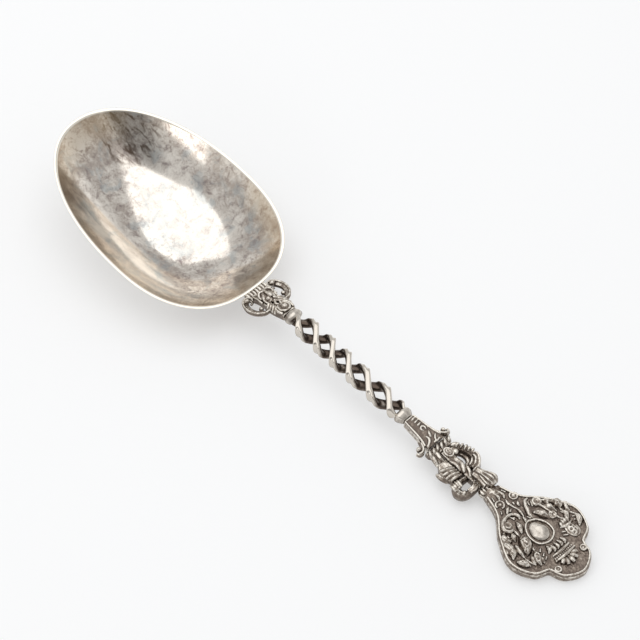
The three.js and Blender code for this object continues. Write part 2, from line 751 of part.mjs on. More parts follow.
const crownShape = polygon([
  [crownFromNeck, -crownHalfSpan],
  [crownFromNeck + crownLength, -crownHalfSpan],
  [crownFromNeck + crownLength, crownHalfSpan],
  [crownFromNeck, crownHalfSpan],
]);
addPiece(field, 'crown_band', plate(crownShape, reliefHeight, reliefFloor));

function fanShape() {
  const start = crownFromNeck + crownLength + solderGap;
  const outline = [[start, -fanRootHalfSpan], [start, fanRootHalfSpan]];
  const perLobe = 4;
  for (let i = 0; i <= fanLobes * perLobe; i += 1) {
    const share = i / (fanLobes * perLobe);
    const turn = fanSpread * (0.5 - share) * degrees;
    const lobe = 1 - fanCut + fanCut * Math.abs(Math.sin(share * fanLobes * 180 * degrees));
    outline.push([start + fanLength * lobe * Math.cos(turn), fanHalfSpan * lobe * Math.sin(turn)]);
  }
  return polygon(outline.reverse());
}
addPiece(field, 'end_fan', plate(fanShape(), reliefHeight, reliefFloor));

// Origin under the middle of the spoon, on the table
const box = new THREE.Box3().setFromObject(spoon, true);
spoon.position.x = -(box.min.x + box.max.x) / 2;
spoon.updateMatrixWorld(true);

export default spoon;
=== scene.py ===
import math

import bmesh
import bpy
import numpy as np
from mathutils import Matrix, Vector, noise


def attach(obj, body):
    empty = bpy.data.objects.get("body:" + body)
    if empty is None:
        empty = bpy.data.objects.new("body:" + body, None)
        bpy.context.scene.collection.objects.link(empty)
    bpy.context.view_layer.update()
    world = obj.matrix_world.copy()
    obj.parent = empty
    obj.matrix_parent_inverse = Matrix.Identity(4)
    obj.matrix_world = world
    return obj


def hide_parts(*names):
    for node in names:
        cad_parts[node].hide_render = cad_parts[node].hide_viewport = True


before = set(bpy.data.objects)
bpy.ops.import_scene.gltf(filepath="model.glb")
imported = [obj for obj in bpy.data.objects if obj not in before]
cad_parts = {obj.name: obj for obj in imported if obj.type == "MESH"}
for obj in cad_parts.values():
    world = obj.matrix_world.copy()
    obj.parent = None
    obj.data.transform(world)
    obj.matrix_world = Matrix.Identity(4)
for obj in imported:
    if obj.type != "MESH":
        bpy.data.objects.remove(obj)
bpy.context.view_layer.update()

mm = 0.001
scene = bpy.context.scene
scene.view_settings.view_transform = "Standard"

# where the CAD puts the stretches of the handle, in mm and degrees
spoon = dict(heel=(-24.85, 0, 9.21), rise=10.5, stem=(-10.31, 0, 11.80), fall=6.65,
             capital=45.9, knop=59.3, terminal=76.6, lift=2.4, fieldTop=2.0)


def tipped(degrees):
    return Matrix.Rotation(math.radians(degrees), 4, "Y")


def shifted(x=0, y=0, z=0):
    return Matrix.Translation((x, y, z))


inMetres = Matrix.Scale(mm, 4)
heelPlace = inMetres @ shifted(*spoon["heel"]) @ tipped(-spoon["rise"])
stemPlace = inMetres @ shifted(*spoon["stem"]) @ tipped(spoon["fall"])
capitalPlace = stemPlace @ shifted(spoon["capital"])
knopPlace = stemPlace @ shifted(spoon["knop"])
fieldPlace = stemPlace @ shifted(spoon["terminal"]) @ tipped(-spoon["lift"]) @ shifted(z=spoon["fieldTop"])


def placed(name, data):
    thing = bpy.data.objects.new(name, data)
    scene.collection.objects.link(thing)
    return thing


def meshOf(bm, name):
    mesh = bpy.data.meshes.new(name)
    bm.to_mesh(mesh)
    bm.free()
    return mesh


def roundOff(bm, edges, size, segments=3):
    bmesh.ops.bevel(bm, geom=edges, offset=size, segments=segments, profile=0.5, affect="EDGES", material=-1)


# wax modelling: wires, balls and plates, in mm, that are melted into one casting

def smoothLine(points, steps=6):
    line = [Vector(p) for p in points]
    line = [2 * line[0] - line[1], *line, 2 * line[-1] - line[-2]]
    out = []
    for a, b, c, d in zip(line, line[1:], line[2:], line[3:]):
        for k in range(steps):
            t = k / steps
            out.append(b + 0.5 * t * (c - a + t * (2 * a - 5 * b + 4 * c - d + t * (3 * (b - c) + d - a))))
    out.append(line[-2])
    return out


def addWires(wax, strokes, tall=1.0, steps=6):
    # round wires through points of (x, y, z, radius), stretched upwards by tall
    curve = bpy.data.curves.new("wires", "CURVE")
    curve.dimensions = "3D"
    curve.bevel_depth = 1.0
    curve.bevel_resolution = 2
    curve.use_fill_caps = True
    for stroke in strokes:
        line = smoothLine(stroke, steps)
        spline = curve.splines.new("POLY")
        spline.points.add(len(line) - 1)
        for point, (x, y, z, radius) in zip(spline.points, line):
            point.co = (x, y, z / tall, 1)
            point.radius = max(radius, 0.02)
    holder = placed("wires", curve)
    solid = bpy.data.meshes.new_from_object(holder.evaluated_get(bpy.context.evaluated_depsgraph_get()))
    solid.transform(Matrix.Diagonal((1, 1, tall, 1)))
    wax.from_mesh(solid)
    bpy.data.objects.remove(holder)
    bpy.data.curves.remove(curve)
    bpy.data.meshes.remove(solid)


def addBall(wax, x, y, z, length, width=None, height=None, bearing=0):
    size = Matrix.Diagonal((length, width or length, height or length, 1))
    turn = Matrix.Rotation(math.radians(bearing), 4, "Z")
    bmesh.ops.create_uvsphere(wax, u_segments=20, v_segments=12, radius=1,
                              matrix=shifted(x, y, z) @ turn @ size)


def addPlate(wax, outline, low, high, edge=0.0):
    foot = wax.faces.new([wax.verts.new((x, y, low)) for x, y in outline])
    top = bmesh.ops.extrude_face_region(wax, geom=[foot])["geom"]
    corners = [v for v in top if isinstance(v, bmesh.types.BMVert)]
    bmesh.ops.translate(wax, verts=corners, vec=(0, 0, high - low))
    if edge:
        lid = next(f for f in top if isinstance(f, bmesh.types.BMFace))
        roundOff(wax, list(lid.edges) + list(foot.edges), edge)


def ring(x, y, z, radius, wire, start=0, end=360, squeeze=1.0, count=12):
    # a stroke round a centre
    stroke = []
    for k in range(count + 1):
        angle = math.radians(start + (end - start) * k / count)
        stroke.append((x + radius * math.cos(angle), y + squeeze * radius * math.sin(angle), z, wire))
    return stroke


def toSide(strokes, side):
    # the same strokes where side is 1, their mirror image where it is -1
    return [[(x, side * y, z, r) for x, y, z, r in stroke] for stroke in strokes]


def bothSides(edge):
    # closed outline from the edge of one side
    return [(x, y) for x, y in edge] + [(x, -y) for x, y in reversed(edge)]


def melted(wax, grain, filing=2):
    # voxel skin over everything in the wax, then filed smooth
    bmesh.ops.remove_doubles(wax, verts=wax.verts, dist=1e-4)
    bmesh.ops.recalc_face_normals(wax, faces=wax.faces)
    mesh = meshOf(wax, "wax")
    holder = placed("wax", mesh)
    skin = holder.modifiers.new("skin", "REMESH")
    skin.mode = "VOXEL"
    skin.voxel_size = grain
    file = holder.modifiers.new("file", "SMOOTH")
    file.factor = 0.5
    file.iterations = filing
    cast = bpy.data.meshes.new_from_object(holder.evaluated_get(bpy.context.evaluated_depsgraph_get()))
    bpy.data.objects.remove(holder)
    bpy.data.meshes.remove(mesh)
    return cast


def wearOf(mesh, reach):
    # how far each point stands out from its surroundings, smoothed over reach rings of neighbours
    count = len(mesh.vertices)
    place = coordinates(mesh, "co")
    pairs = np.empty(len(mesh.edges) * 2, dtype=np.int64)
    mesh.edges.foreach_get("vertices", pairs)
    first, second = pairs.reshape(-1, 2).T
    here = np.concatenate((first, second))
    there = np.concatenate((second, first))
    neighbours = np.bincount(here, minlength=count)[:, None]
    soft = place.copy()
    for step in range(reach):
        total = [np.bincount(here, weights=soft[there, axis], minlength=count) for axis in range(3)]
        soft = 0.5 * soft + 0.5 * np.stack(total, axis=1) / neighbours
    return ((place - soft) * coordinates(mesh, "normal")).sum(axis=1)


def coordinates(mesh, kind):
    # places or normals of the points, one row each
    values = np.empty(len(mesh.vertices) * 3)
    mesh.vertices.foreach_get(kind, values)
    return values.reshape(-1, 3)


def storeWearAndShade(mesh, values):
    wearAndShade = mesh.attributes.new("wearAndShade", "FLOAT", "POINT")
    wearAndShade.data.foreach_set("value", np.clip(values, 0, 1).astype(np.float32))


def dressed(name, mesh, place, material, slot, *nodes):
    # the mesh goes to its place in the frame and stands for its CAD nodes
    mesh.transform(place)
    mesh.name = name
    for face in mesh.polygons:
        face.use_smooth = True
    mesh.materials.clear()
    mesh.materials.append(material)
    piece = placed(name, mesh)
    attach(piece, "root")
    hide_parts(*nodes)


casting = dict(grain=0.14, even=0.62, shade=0.42, ornamentShade=0.4, fieldWear=0.42, sunk=0.3,
               dent=0.9, dentEdge=0.3, piercingShade=0.8, piercingRim=1.6, mattRun=1.6)


def castPiece(name, wax, place, node, grain=casting["grain"], filing=2, reach=24, relief=0.10, ground=None,
              shadedHollows=(), pits=(), shade=casting["shade"], matting=0.0, slot="oxidised_silver",
              material=None):
    # a casting whose high places are rubbed bright; upright faces are made darker by shade, as painted shade
    # over the patina ground = height of a dark field and how far up it fades, matting = how rough the field
    # is hollows and pits = (x, y, radius) of piercings, whose walls get painted shade, and of dents punched
    # in the upper face
    mesh = melted(wax, grain, filing)
    x, y, z = coordinates(mesh, "co").T
    for pitX, pitY, radius in pits:
        near = np.clip(1 - np.hypot(x - pitX, y - pitY) / radius, 0, 1)
        z -= casting["dent"] * radius * near * np.clip(z / casting["dentEdge"], 0, 1)
    if matting:
        points = casting["mattRun"] * np.stack((x, y, z), axis=1)
        z += matting * np.array([noise.fractal(point, 0.8, 2.0, 3) for point in points])
    mesh.vertices.foreach_set("co", np.stack((x, y, z), axis=1).ravel())
    mesh.update()
    wearAndShade = casting["even"] + wearOf(mesh, reach) / (2 * relief)
    upright = 1 - np.abs(coordinates(mesh, "normal")[:, 2])
    if ground:
        over = z - ground[0]
        shade = np.where(over > 0, casting["ornamentShade"], shade)
    # painted shade: upright faces are made darker, by ornamentShade on ornaments above the field
    wearAndShade -= shade * upright
    # painted shade on the walls round each piercing, over its patina
    for holeX, holeY, radius in shadedHollows:
        away = np.hypot(x - holeX, y - holeY) / radius
        wearAndShade -= casting["piercingShade"] * upright * np.clip(casting["piercingRim"] - away, 0, 1)
    if ground:
        rising = casting["fieldWear"] + (1 - casting["fieldWear"]) * np.clip(over / ground[1], 0, 1)
        wearAndShade *= np.where(over < -casting["sunk"], 1, rising)
    storeWearAndShade(mesh, wearAndShade)
    dressed(name, mesh, place, material or oxidisedSilver, slot, node)


# materials

def linear(hexText):
    parts = [int(hexText[i:i + 2], 16) / 255 for i in (1, 3, 5)]
    return tuple(c / 12.92 if c <= 0.04045 else ((c + 0.055) / 1.055) ** 2.4 for c in parts) + (1.0,)


def addNode(tree, kind, inputs=None, out=0, **settings):
    # a new shader node; gives the socket that is named or counted by out
    node = tree.nodes.new("ShaderNode" + kind)
    for name, value in settings.items():
        setattr(node, name, value)
    for name, value in (inputs or {}).items():
        if isinstance(value, bpy.types.NodeSocket):
            tree.links.new(value, node.inputs[name])
        else:
            node.inputs[name].default_value = value
    return node.outputs[out]


eased = dict(interpolation_type="SMOOTHSTEP")


def newMaterial(name):
    material = bpy.data.materials.new(name)
    material.use_nodes = True
    tree = material.node_tree
    return material, tree, tree.nodes["Principled BSDF"]


def perMm(size):
    # noise scale in Object coordinates, which are metres, for a blotch of this many mm
    return 1 / (size * mm)


def makeBowlSilver():
    # sterling silver raised from sheet: clear soft reflections under a blotchy grey and brown tarnish
    # the hollow is rubbed clean by use, brown streaks run along one side of the tip, and a painted gold
    # reflection lies on the wall below the rim
    look = dict(bright="#eee8df", grey="#b8aea5", plum="#877a79", blue="#aeb9bc", streak="#6a5b50",
                reflectedGold="#b79d74", lip="#efe9dd", speckShare=0.4, smearTurn=-12, smearStretch=(0.2, 1.0, 0.6),
                planish=7.0, planishDepth=0.1, smooth=0.10, dull=0.17)
    # size in mm, detail and roughness of each pattern
    look["grains"] = dict(cloud=(12.0, 3.0, 0.55), blotch=(2.6, 7.0, 0.72), speck=(0.7, 3.0, 0.6),
                          vein=(2.6, 8.0, 0.8), bloom=(6.0, 4.0, 0.6), smear=(1.6, 5.0, 0.65))
    # oval zones of the bowl: centre and half sizes in mm, strength in the middle
    look["zones"] = dict(hollow=((-65, 7, 4), (25, 10, 16), 0.6), wall=((-62, -17, 9), (30, 10, 12), 0.85),
                         tip=((-89, 10, 17), (13, 10, 11), 1.0), side=((-76, 20, 13), (28, 14, 16), 1.0))
    material, tree, shader = newMaterial("tarnished sterling silver")
    coords = addNode(tree, "TexCoord", out="Object")
    rim = addNode(tree, "Attribute", out="Fac", attribute_name="rimShare")
    turn = (0, 0, math.radians(look["smearTurn"]))
    stretched = addNode(tree, "Mapping", {"Vector": coords, "Rotation": turn, "Scale": look["smearStretch"]})
    grain = {}
    for name, (size, detail, roughness) in look["grains"].items():
        run = stretched if name == "smear" else coords
        grain[name] = addNode(tree, "TexNoise", {"Vector": run, "Scale": perMm(size), "Detail": detail,
                                                 "Roughness": roughness, "Distortion": 0.5})
    zone = {}
    for name, (centre, halfSizes, strength) in look["zones"].items():
        local = addNode(tree, "Mapping", {"Vector": coords, "Location": [c * mm for c in centre],
                                          "Scale": [h * mm for h in halfSizes]}, vector_type="TEXTURE")
        away = addNode(tree, "VectorMath", {0: local}, out="Value", operation="LENGTH")
        zone[name] = addNode(tree, "MapRange", {"Value": away, "From Min": 0.6, "From Max": 1.1,
                                                "To Min": strength, "To Max": 0.0}, **eased)
    cleaned = addNode(tree, "Math", {0: zone["hollow"], 1: zone["wall"]}, operation="MAXIMUM")
    unrubbed = addNode(tree, "Math", {0: 1.0, 1: cleaned}, operation="SUBTRACT")
    clouds = addNode(tree, "Math", {0: grain["cloud"], 1: grain["blotch"]}, operation="ADD")
    mottle = addNode(tree, "Math", {0: grain["speck"], 1: look["speckShare"], 2: clouds},
                     operation="MULTIPLY_ADD")
    # painted reflection: the gold is held back where the side zone lies
    reflectionShare = addNode(tree, "MapRange", {"Value": zone["side"], "From Max": 0.7, "To Min": 1.0,
                                           "To Max": 0.25}, **eased)
    # coats over the bright metal: pattern, where it sets in and is full, strength, and what holds it back
    coats = dict(grey=(mottle, 0.98, 1.42, 1.0, unrubbed), plum=(grain["vein"], 0.5, 0.7, 1.0, unrubbed),
                 blue=(grain["bloom"], 0.52, 0.68, 0.45, None),
                 streak=(grain["smear"], 0.47, 0.66, 1.0, zone["tip"]),
                 # gold: a painted reflection of the opposite tarnished wall, in a band below the rim
                 reflectedGold=(rim, 0.74, 0.95, 0.42, reflectionShare), lip=(rim, 0.985, 0.995, 1.0, None))
    colour = linear(look["bright"])
    cover = {}
    for tint, (pattern, low, high, strength, share) in coats.items():
        cover[tint] = addNode(tree, "MapRange", {"Value": pattern, "From Min": low, "From Max": high,
                                                 "To Max": strength}, **eased)
        if share is not None:
            cover[tint] = addNode(tree, "Math", {0: cover[tint], 1: share}, operation="MULTIPLY")
        # 0, 6 and 7 are the factor and the two colours of a colour mix, 2 its result
        colour = addNode(tree, "Mix", {0: cover[tint], 6: colour, 7: linear(look[tint])}, out=2,
                         data_type="RGBA")
    rough = addNode(tree, "MapRange", {"Value": cover["grey"], "To Min": look["smooth"],
                                       "To Max": look["dull"]}, **eased)
    planish = addNode(tree, "TexNoise", {"Vector": coords, "Scale": perMm(look["planish"]), "Detail": 1.0})
    bump = addNode(tree, "Bump", {"Height": planish, "Strength": 0.2,
                                  "Distance": look["planishDepth"] * mm})
    tree.links.new(colour, shader.inputs["Base Color"])
    tree.links.new(rough, shader.inputs["Roughness"])
    tree.links.new(bump, shader.inputs["Normal"])
    shader.inputs["Metallic"].default_value = 1.0
    return material


# cast silver, chemically darkened and then rubbed: black-brown hollows, bright soft high places; darker
# upright faces and piercing walls are painted shade
castLook = dict(tones=[(0.2, "#6d625a"), (0.52, "#8f8479"), (0.82, "#ded8ce")], stain=(1.1, 4.0, 0.6),
                uneven=0.3, dull=0.4, polished=0.16, chasing=0.45, chasingDepth=0.16)
# wrung and filed silver rod: worn nearly clean, with greyish handling marks
rodLook = dict(tones=[(0.1, "#5c5149"), (0.72, "#d2cbc1")], stain=(2.4, 5.0, 0.65), uneven=0.34,
               dull=0.34, polished=0.15, chasing=None)


def makeWornSilver(name, look):
    # from dark to bright along the wear and shade attribute (rubbing and patina, plus painted shade), made
    # uneven by a stain of (size in mm, detail, roughness)
    material, tree, shader = newMaterial(name)
    coords = addNode(tree, "TexCoord", out="Object")
    wearAndShade = addNode(tree, "Attribute", out="Fac", attribute_name="wearAndShade")
    size, detail, roughness = look["stain"]
    stain = addNode(tree, "TexNoise", {"Vector": coords, "Scale": perMm(size), "Detail": detail,
                                       "Roughness": roughness})
    uneven = addNode(tree, "MapRange", {"Value": stain, "From Min": 0.3, "From Max": 0.7,
                                        "To Min": -look["uneven"], "To Max": look["uneven"]})
    rubbed = addNode(tree, "Math", {0: wearAndShade, 1: uneven}, operation="ADD", use_clamp=True)
    colour = addNode(tree, "ValToRGB", {"Fac": rubbed})
    ramp = colour.node.color_ramp.elements
    while len(ramp) < len(look["tones"]):
        ramp.new(0.5)
    for step, (position, tone) in zip(ramp, look["tones"]):
        step.position = position
        step.color = linear(tone)
    rough = addNode(tree, "MapRange", {"Value": rubbed, "To Min": look["dull"], "To Max": look["polished"]})
    if look["chasing"]:
        chasing = addNode(tree, "TexNoise", {"Vector": coords, "Scale": perMm(look["chasing"]),
                                             "Detail": 3.0})
        bump = addNode(tree, "Bump", {"Height": chasing, "Strength": 0.7,
                                      "Distance": look["chasingDepth"] * mm})
        tree.links.new(bump, shader.inputs["Normal"])
    tree.links.new(colour, shader.inputs["Base Color"])
    tree.links.new(rough, shader.inputs["Roughness"])
    shader.inputs["Metallic"].default_value = 1.0
    return material


bowlSilver = makeBowlSilver()
oxidisedSilver = makeWornSilver("oxidised cast silver", castLook)
rubbedSilver = makeWornSilver("rubbed silver", rodLook)
print("materials made")

# bowl: one profile, spun and then stretched to the egg-shaped rim

bowl = dict(length=76, width=51.4, depth=15.4, widest=32, rim=0.9, wall=1.1, tilt=9.6, tip=2.1, heel=2.45,
            fullness=2.3, height=10.31, rings=48, steps=256, rimRound=0.3)


def rimReach(angle, inset):
    heelward = math.cos(angle) > 0
    reach = (bowl["widest"] if heelward else bowl["length"] - bowl["widest"]) - inset
    power = bowl["heel"] if heelward else bowl["tip"]
    across = abs(math.sin(angle)) / (bowl["width"] / 2 - inset)
    along = abs(math.cos(angle)) / reach
    return (across ** power + along ** power) ** (-1 / power)


def makeBowl():
    # a spoke runs out along the outside (z = 0) and back along the inside (z = 1); spun, then stretched
    bm = bmesh.new()
    shares = [(i / bowl["rings"]) ** 0.8 for i in range(bowl["rings"] + 1)]
    spoke = [bm.verts.new((share, 0, 0)) for share in shares]
    spoke += [bm.verts.new((share, 0, 1)) for share in reversed(shares)]
    run = [bm.edges.new(pair) for pair in zip(spoke, spoke[1:])]
    bmesh.ops.spin(bm, geom=spoke + run, cent=(0, 0, 0), axis=(0, 0, 1), angle=math.tau,
                   steps=bowl["steps"], use_merge=True)
    bmesh.ops.remove_doubles(bm, verts=bm.verts, dist=1e-5)
    bmesh.ops.recalc_face_normals(bm, faces=bm.faces)
    rimShare = bm.verts.layers.float.new("rimShare")
    for v in bm.verts:
        share, inside = math.hypot(v.co.x, v.co.y), v.co.z
        reach = rimReach(math.atan2(v.co.y, v.co.x), inside * bowl["rim"]) if share > 1e-6 else 0
        depth = bowl["depth"] - inside * bowl["wall"]
        v[rimShare] = share
        v.co = (v.co.x * reach - bowl["widest"], v.co.y * reach, -depth * (1 - share ** bowl["fullness"]))
    bm.normal_update()
    lips = [e for e in bm.edges if e.calc_face_angle() > 0.6 and min(v.co.z for v in e.verts) > -0.01]
    roundOff(bm, lips, bowl["rimRound"])
    place = shifted(spoon["heel"][0], 0, bowl["height"]) @ tipped(bowl["tilt"])
    bmesh.ops.transform(bm, matrix=place, verts=bm.verts)
    for v in bm.verts:
        v.co.z = max(v.co.z, 0)  # worn flat where it rests
    dressed("bowlShell", meshOf(bm, "bowl"), inMetres, bowlSilver, "bowl_silver", "bowl")


makeBowl()
print("bowl raised")

# heel bracket: gadroon strip, mask with its mane, side scrolls and a drop

heel = dict(grain=0.13, floor=-1.3, face=0.9)


def makeGadroons():
    wax = bmesh.new()
    reeds = dict(count=7, halfSpan=3.7, radius=0.5)
    half = reeds["halfSpan"]
    for k in range(reeds["count"]):
        y = half * (2 * (k + 0.5) / reeds["count"] - 1)
        addWires(wax, [[(-0.45, y, 0.6, 0.4), (0.3, y, 0.7, reeds["radius"]),
                        (1.2, y, 0.6, reeds["radius"]), (1.95, y, 0.3, 0.38)]], tall=1.3)
    addPlate(wax, [(-0.3, -half), (1.9, -half), (1.9, half), (-0.3, half)], -1.0, 0.6, 0.2)
    castPiece("gadroonStrip", wax, heelPlace, "heel_gadroon_strip", grain=heel["grain"], relief=0.11)


def makeBracket():
    wax = bmesh.new()
    edge = smoothLine([(2.0, 2.9), (4.8, 2.5), (9.7, 2.8), (14.4, 2.3)])
    addPlate(wax, bothSides(edge), heel["floor"], heel["face"], 0.3)
    border = [[(9.6, 0.9, 1.1, 0.3), (10.8, 1.9, 1.2, 0.42), (12.4, 2.3, 1.2, 0.44), (14.0, 2.0, 1.1, 0.4)]]
    mane = [[(x, 0.9, 1.3, 0.26), (x + 1.2, 2.1, 1.3, 0.42), (x + 1.8, 3.2, 0.6, 0.34)]
            for x in (7.0, 8.0, 9.0, 10.0)]
    cheeks = [[(2.4, 2.5, 0.9, 0.35), (4.2, 2.6, 1.2, 0.45), (6.4, 2.7, 1.1, 0.35)]]
    sides = border + mane + cheeks
    addWires(wax, sides + toSide(sides, -1))
    castPiece("bracketBody", wax, heelPlace, "heel_bracket", grain=heel["grain"], relief=0.15)


def makeMask():
    # a snarling head that looks along the handle
    wax = bmesh.new()
    addBall(wax, 5.4, 0, 1.3, 2.7, 2.3, 1.1)
    addBall(wax, 3.9, 0, 1.8, 1.2, 1.5, 0.9)       # forehead
    addBall(wax, 6.9, 0.8, 1.8, 1.1, 0.8, 0.8)     # muzzle halves
    addBall(wax, 6.9, -0.8, 1.8, 1.1, 0.8, 0.8)
    addBall(wax, 8.5, 0, 1.3, 0.9, 0.8, 0.7)       # jaw
    snout = [(3.4, 0, 2.4, 0.55), (5.0, 0, 2.6, 0.55), (6.6, 0, 2.8, 0.7), (7.5, 0, 2.5, 0.5)]
    brow = [(4.1, 0.4, 2.5, 0.4), (3.8, 1.3, 2.4, 0.46), (4.6, 2.2, 2.1, 0.42), (5.6, 2.3, 1.7, 0.26)]
    cheek = [(5.5, 1.5, 1.8, 0.34), (6.6, 2.0, 1.6, 0.36), (7.8, 1.9, 1.4, 0.24)]
    lip = [(7.6, 0.2, 2.1, 0.3), (8.0, 0.9, 1.8, 0.34), (7.6, 1.6, 1.5, 0.24)]
    ear = [(3.4, 1.7, 1.8, 0.5), (2.9, 2.3, 1.7, 0.4), (2.6, 2.6, 1.5, 0.2)]
    curl = [(8.9, 0.3, 1.6, 0.4), (9.8, 0.7, 1.6, 0.42), (10.6, 0.3, 1.5, 0.26)]
    sides = [brow, cheek, lip, ear, curl]
    addWires(wax, [snout] + sides + toSide(sides, -1))
    for side in (-1, 1):
        addBall(wax, 5.1, 1.15 * side, 2.1, 0.4, 0.32, 0.26)  # eyes under the brows
    castPiece("lionMask", wax, heelPlace, "heel_mask", grain=0.11, relief=0.14, filing=1)


def makeDrop():
    wax = bmesh.new()
    addBall(wax, 12.2, 0, 1.2, 2.0, 1.7, 0.6)
    addWires(wax, [[(10.3, 0.3, 1.4, 0.24), (11.2, 1.3, 1.5, 0.32), (12.7, 1.6, 1.5, 0.36),
                    (13.9, 0.7, 1.5, 0.36), (13.9, -0.7, 1.5, 0.36), (12.7, -1.6, 1.5, 0.36),
                    (11.2, -1.3, 1.5, 0.32), (10.3, -0.3, 1.4, 0.24)]])
    addBall(wax, 12.5, 0, 1.7, 0.95, 0.95, 0.75)
    castPiece("pearDrop", wax, heelPlace, "heel_drop", grain=0.11, relief=0.14, slot="polished_silver")


def makeHeelScroll(name, node, side):
    # a broad band rolled to a C, its outer edge raised, a ball in each curl
    wax = bmesh.new()
    band = [(9.3, 2.9, 0, 0.7), (8.8, 4.4, 0, 0.9), (7.3, 5.8, 0, 0.95), (5.2, 6.4, 0, 1.0),
            (3.2, 6.0, 0, 0.95), (1.8, 5.1, 0, 0.85), (1.5, 4.1, 0, 0.65), (2.2, 3.5, 0, 0.5),
            (3.1, 3.8, 0, 0.42), (3.4, 4.6, 0, 0.36)]
    edges = [[(9.6, 2.9, 0.8, 0.28), (9.3, 4.7, 0.75, 0.34), (7.7, 6.3, 0.7, 0.4), (5.2, 7.0, 0.7, 0.42),
              (2.8, 6.6, 0.7, 0.4), (1.2, 5.5, 0.8, 0.34), (1.0, 4.1, 0.9, 0.3), (2.1, 3.2, 0.9, 0.3),
              (3.3, 3.7, 0.9, 0.26)]]
    addWires(wax, toSide([band], side), tall=0.75)
    addWires(wax, toSide(edges, side))
    addBall(wax, 7.4, 4.2 * side, 0.6, 0.7)
    addBall(wax, 2.2, 4.9 * side, 0.9, 0.85)
    castPiece(name, wax, heelPlace, node, grain=0.12, relief=0.17, shadedHollows=[(5.4, 3.9 * side, 2.2)])


makeGadroons()
makeBracket()
makeMask()
makeDrop()
makeHeelScroll("heelScrollRight", "heel_scroll_right", 1)
makeHeelScroll("heelScrollLeft", "heel_scroll_left", -1)
print("heel bracket cast")

# twist stem: two strands wrung about one line and pressed flatter, with a block at each end

twist = dict(start=1.5, length=42, pitch=14.3, phase=60, halfWidth=4, halfHeight=2.3, bore=1.9,
             boreHeight=0.4, arc=76, stepsPerTurn=120, edge=0.9, swell=0.75, slim=0.02, knob=0.26,
             toothFrom=0.85, press=0.42, wobble=0.05, wobbleRun=2.5, filing=14, drift=1.5, driftStart=10,
             driftLength=32, endWidth=0.62, endRun=3.2, wearAndShade=0.74, wearOut=0.85, wearEdge=0.4,
             wearRelief=0.4, paintedTopLight=0.55, dome=1.3)


def narrowing(x):
    # share of the full width, less near the two ends
    inside = min(x - twist["start"], twist["start"] + twist["length"] - x) / twist["endRun"]
    t = min(max(inside, 0), 1)
    return twist["endWidth"] + (1 - twist["endWidth"]) * t * t * (3 - 2 * t)


def makeStrand(name, node, phase):
    bm = bmesh.new()
    half = math.radians(twist["arc"] / 2)
    angles = [half * (k / 3 - 1) for k in range(7)]
    corners = [(twist["halfWidth"], a) for a in angles] + [(twist["bore"], a) for a in reversed(angles)]
    section = bm.faces.new([bm.verts.new((twist["start"], r * math.cos(a), r * math.sin(a)))
                            for r, a in corners])
    bmesh.ops.rotate(bm, verts=bm.verts, cent=(0, 0, 0),
                     matrix=Matrix.Rotation(math.radians(phase), 3, "X"))
    turns = twist["length"] / twist["pitch"]
    steps = round(turns * twist["stepsPerTurn"])
    bmesh.ops.spin(bm, geom=[section], cent=(0, 0, 0), axis=(1, 0, 0), dvec=(twist["length"] / steps, 0, 0),
                   angle=turns * math.tau, steps=steps)
    bmesh.ops.recalc_face_normals(bm, faces=bm.faces)
    sharp = [e for e in bm.edges if len(e.link_faces) == 2 and e.calc_face_angle() > 0.8]
    roundOff(bm, sharp, twist["edge"], segments=4)
    wearAndShade = []
    for v in bm.verts:
        # from a plain coil to bars that run straight from tooth to tooth, flatter and slimmer at the ends
        radius = math.hypot(v.co.y, v.co.z) * (1 + twist["wobble"] * noise.noise(v.co / twist["wobbleRun"]))
        bearing = math.atan2(v.co.z, v.co.y)
        outward = min(max((radius - twist["bore"]) / (twist["halfWidth"] - twist["bore"]), 0), 1)
        turned = math.radians(phase) + math.tau * (v.co.x - twist["start"]) / twist["pitch"]
        fromMiddle = math.remainder(bearing - turned, math.tau)
        upside = math.sin(turned)
        atTooth = max(abs(math.cos(turned)) - twist["toothFrom"], 0) / (1 - twist["toothFrom"])
        broad = 1 + twist["swell"] * max(-upside, 0) - twist["slim"] * max(upside, 0) ** 2
        broad += twist["knob"] * atTooth
        bearing = math.remainder(turned + fromMiddle * broad, math.tau)
        # outer faces are rubbed brighter than faces towards the bore, and the bar's sides are darker: partly
        # patina, partly painted shade
        wearAndShade.append(twist["wearOut"] * outward - twist["wearEdge"] * (fromMiddle / half) ** 2)
        across = 1 - 2 * abs(bearing) / math.pi
        upright = math.sqrt(1 - across ** 2)
        height = (1 - outward) * twist["boreHeight"] * upright
        height += outward * twist["halfHeight"] * upright ** twist["press"]
        squeeze = narrowing(v.co.x)
        v.co.y = squeeze * radius * across
        v.co.z = squeeze * math.copysign(height, bearing)
        drifting = min(max((v.co.x - twist["driftStart"]) / twist["driftLength"], 0), 1)
        v.co.x -= twist["drift"] * math.sin(math.pi * drifting) ** 2
    for step in range(twist["filing"]):
        bmesh.ops.smooth_vert(bm, verts=bm.verts, factor=0.5, use_axis_x=True, use_axis_y=True,
                              use_axis_z=True)
    mesh = meshOf(bm, name)
    relief = wearOf(mesh, 12) / twist["wearRelief"]
    # painted light: faces turned upwards are lighter and undersides darker, as if lit from above
    upward = np.clip(coordinates(mesh, "normal")[:, 2], -0.6, 1)
    storeWearAndShade(mesh, np.clip(wearAndShade, 0, 1) * (twist["wearAndShade"] + relief + twist["paintedTopLight"] * upward))
    dressed(name, mesh, stemPlace, rubbedSilver, "polished_silver", node)


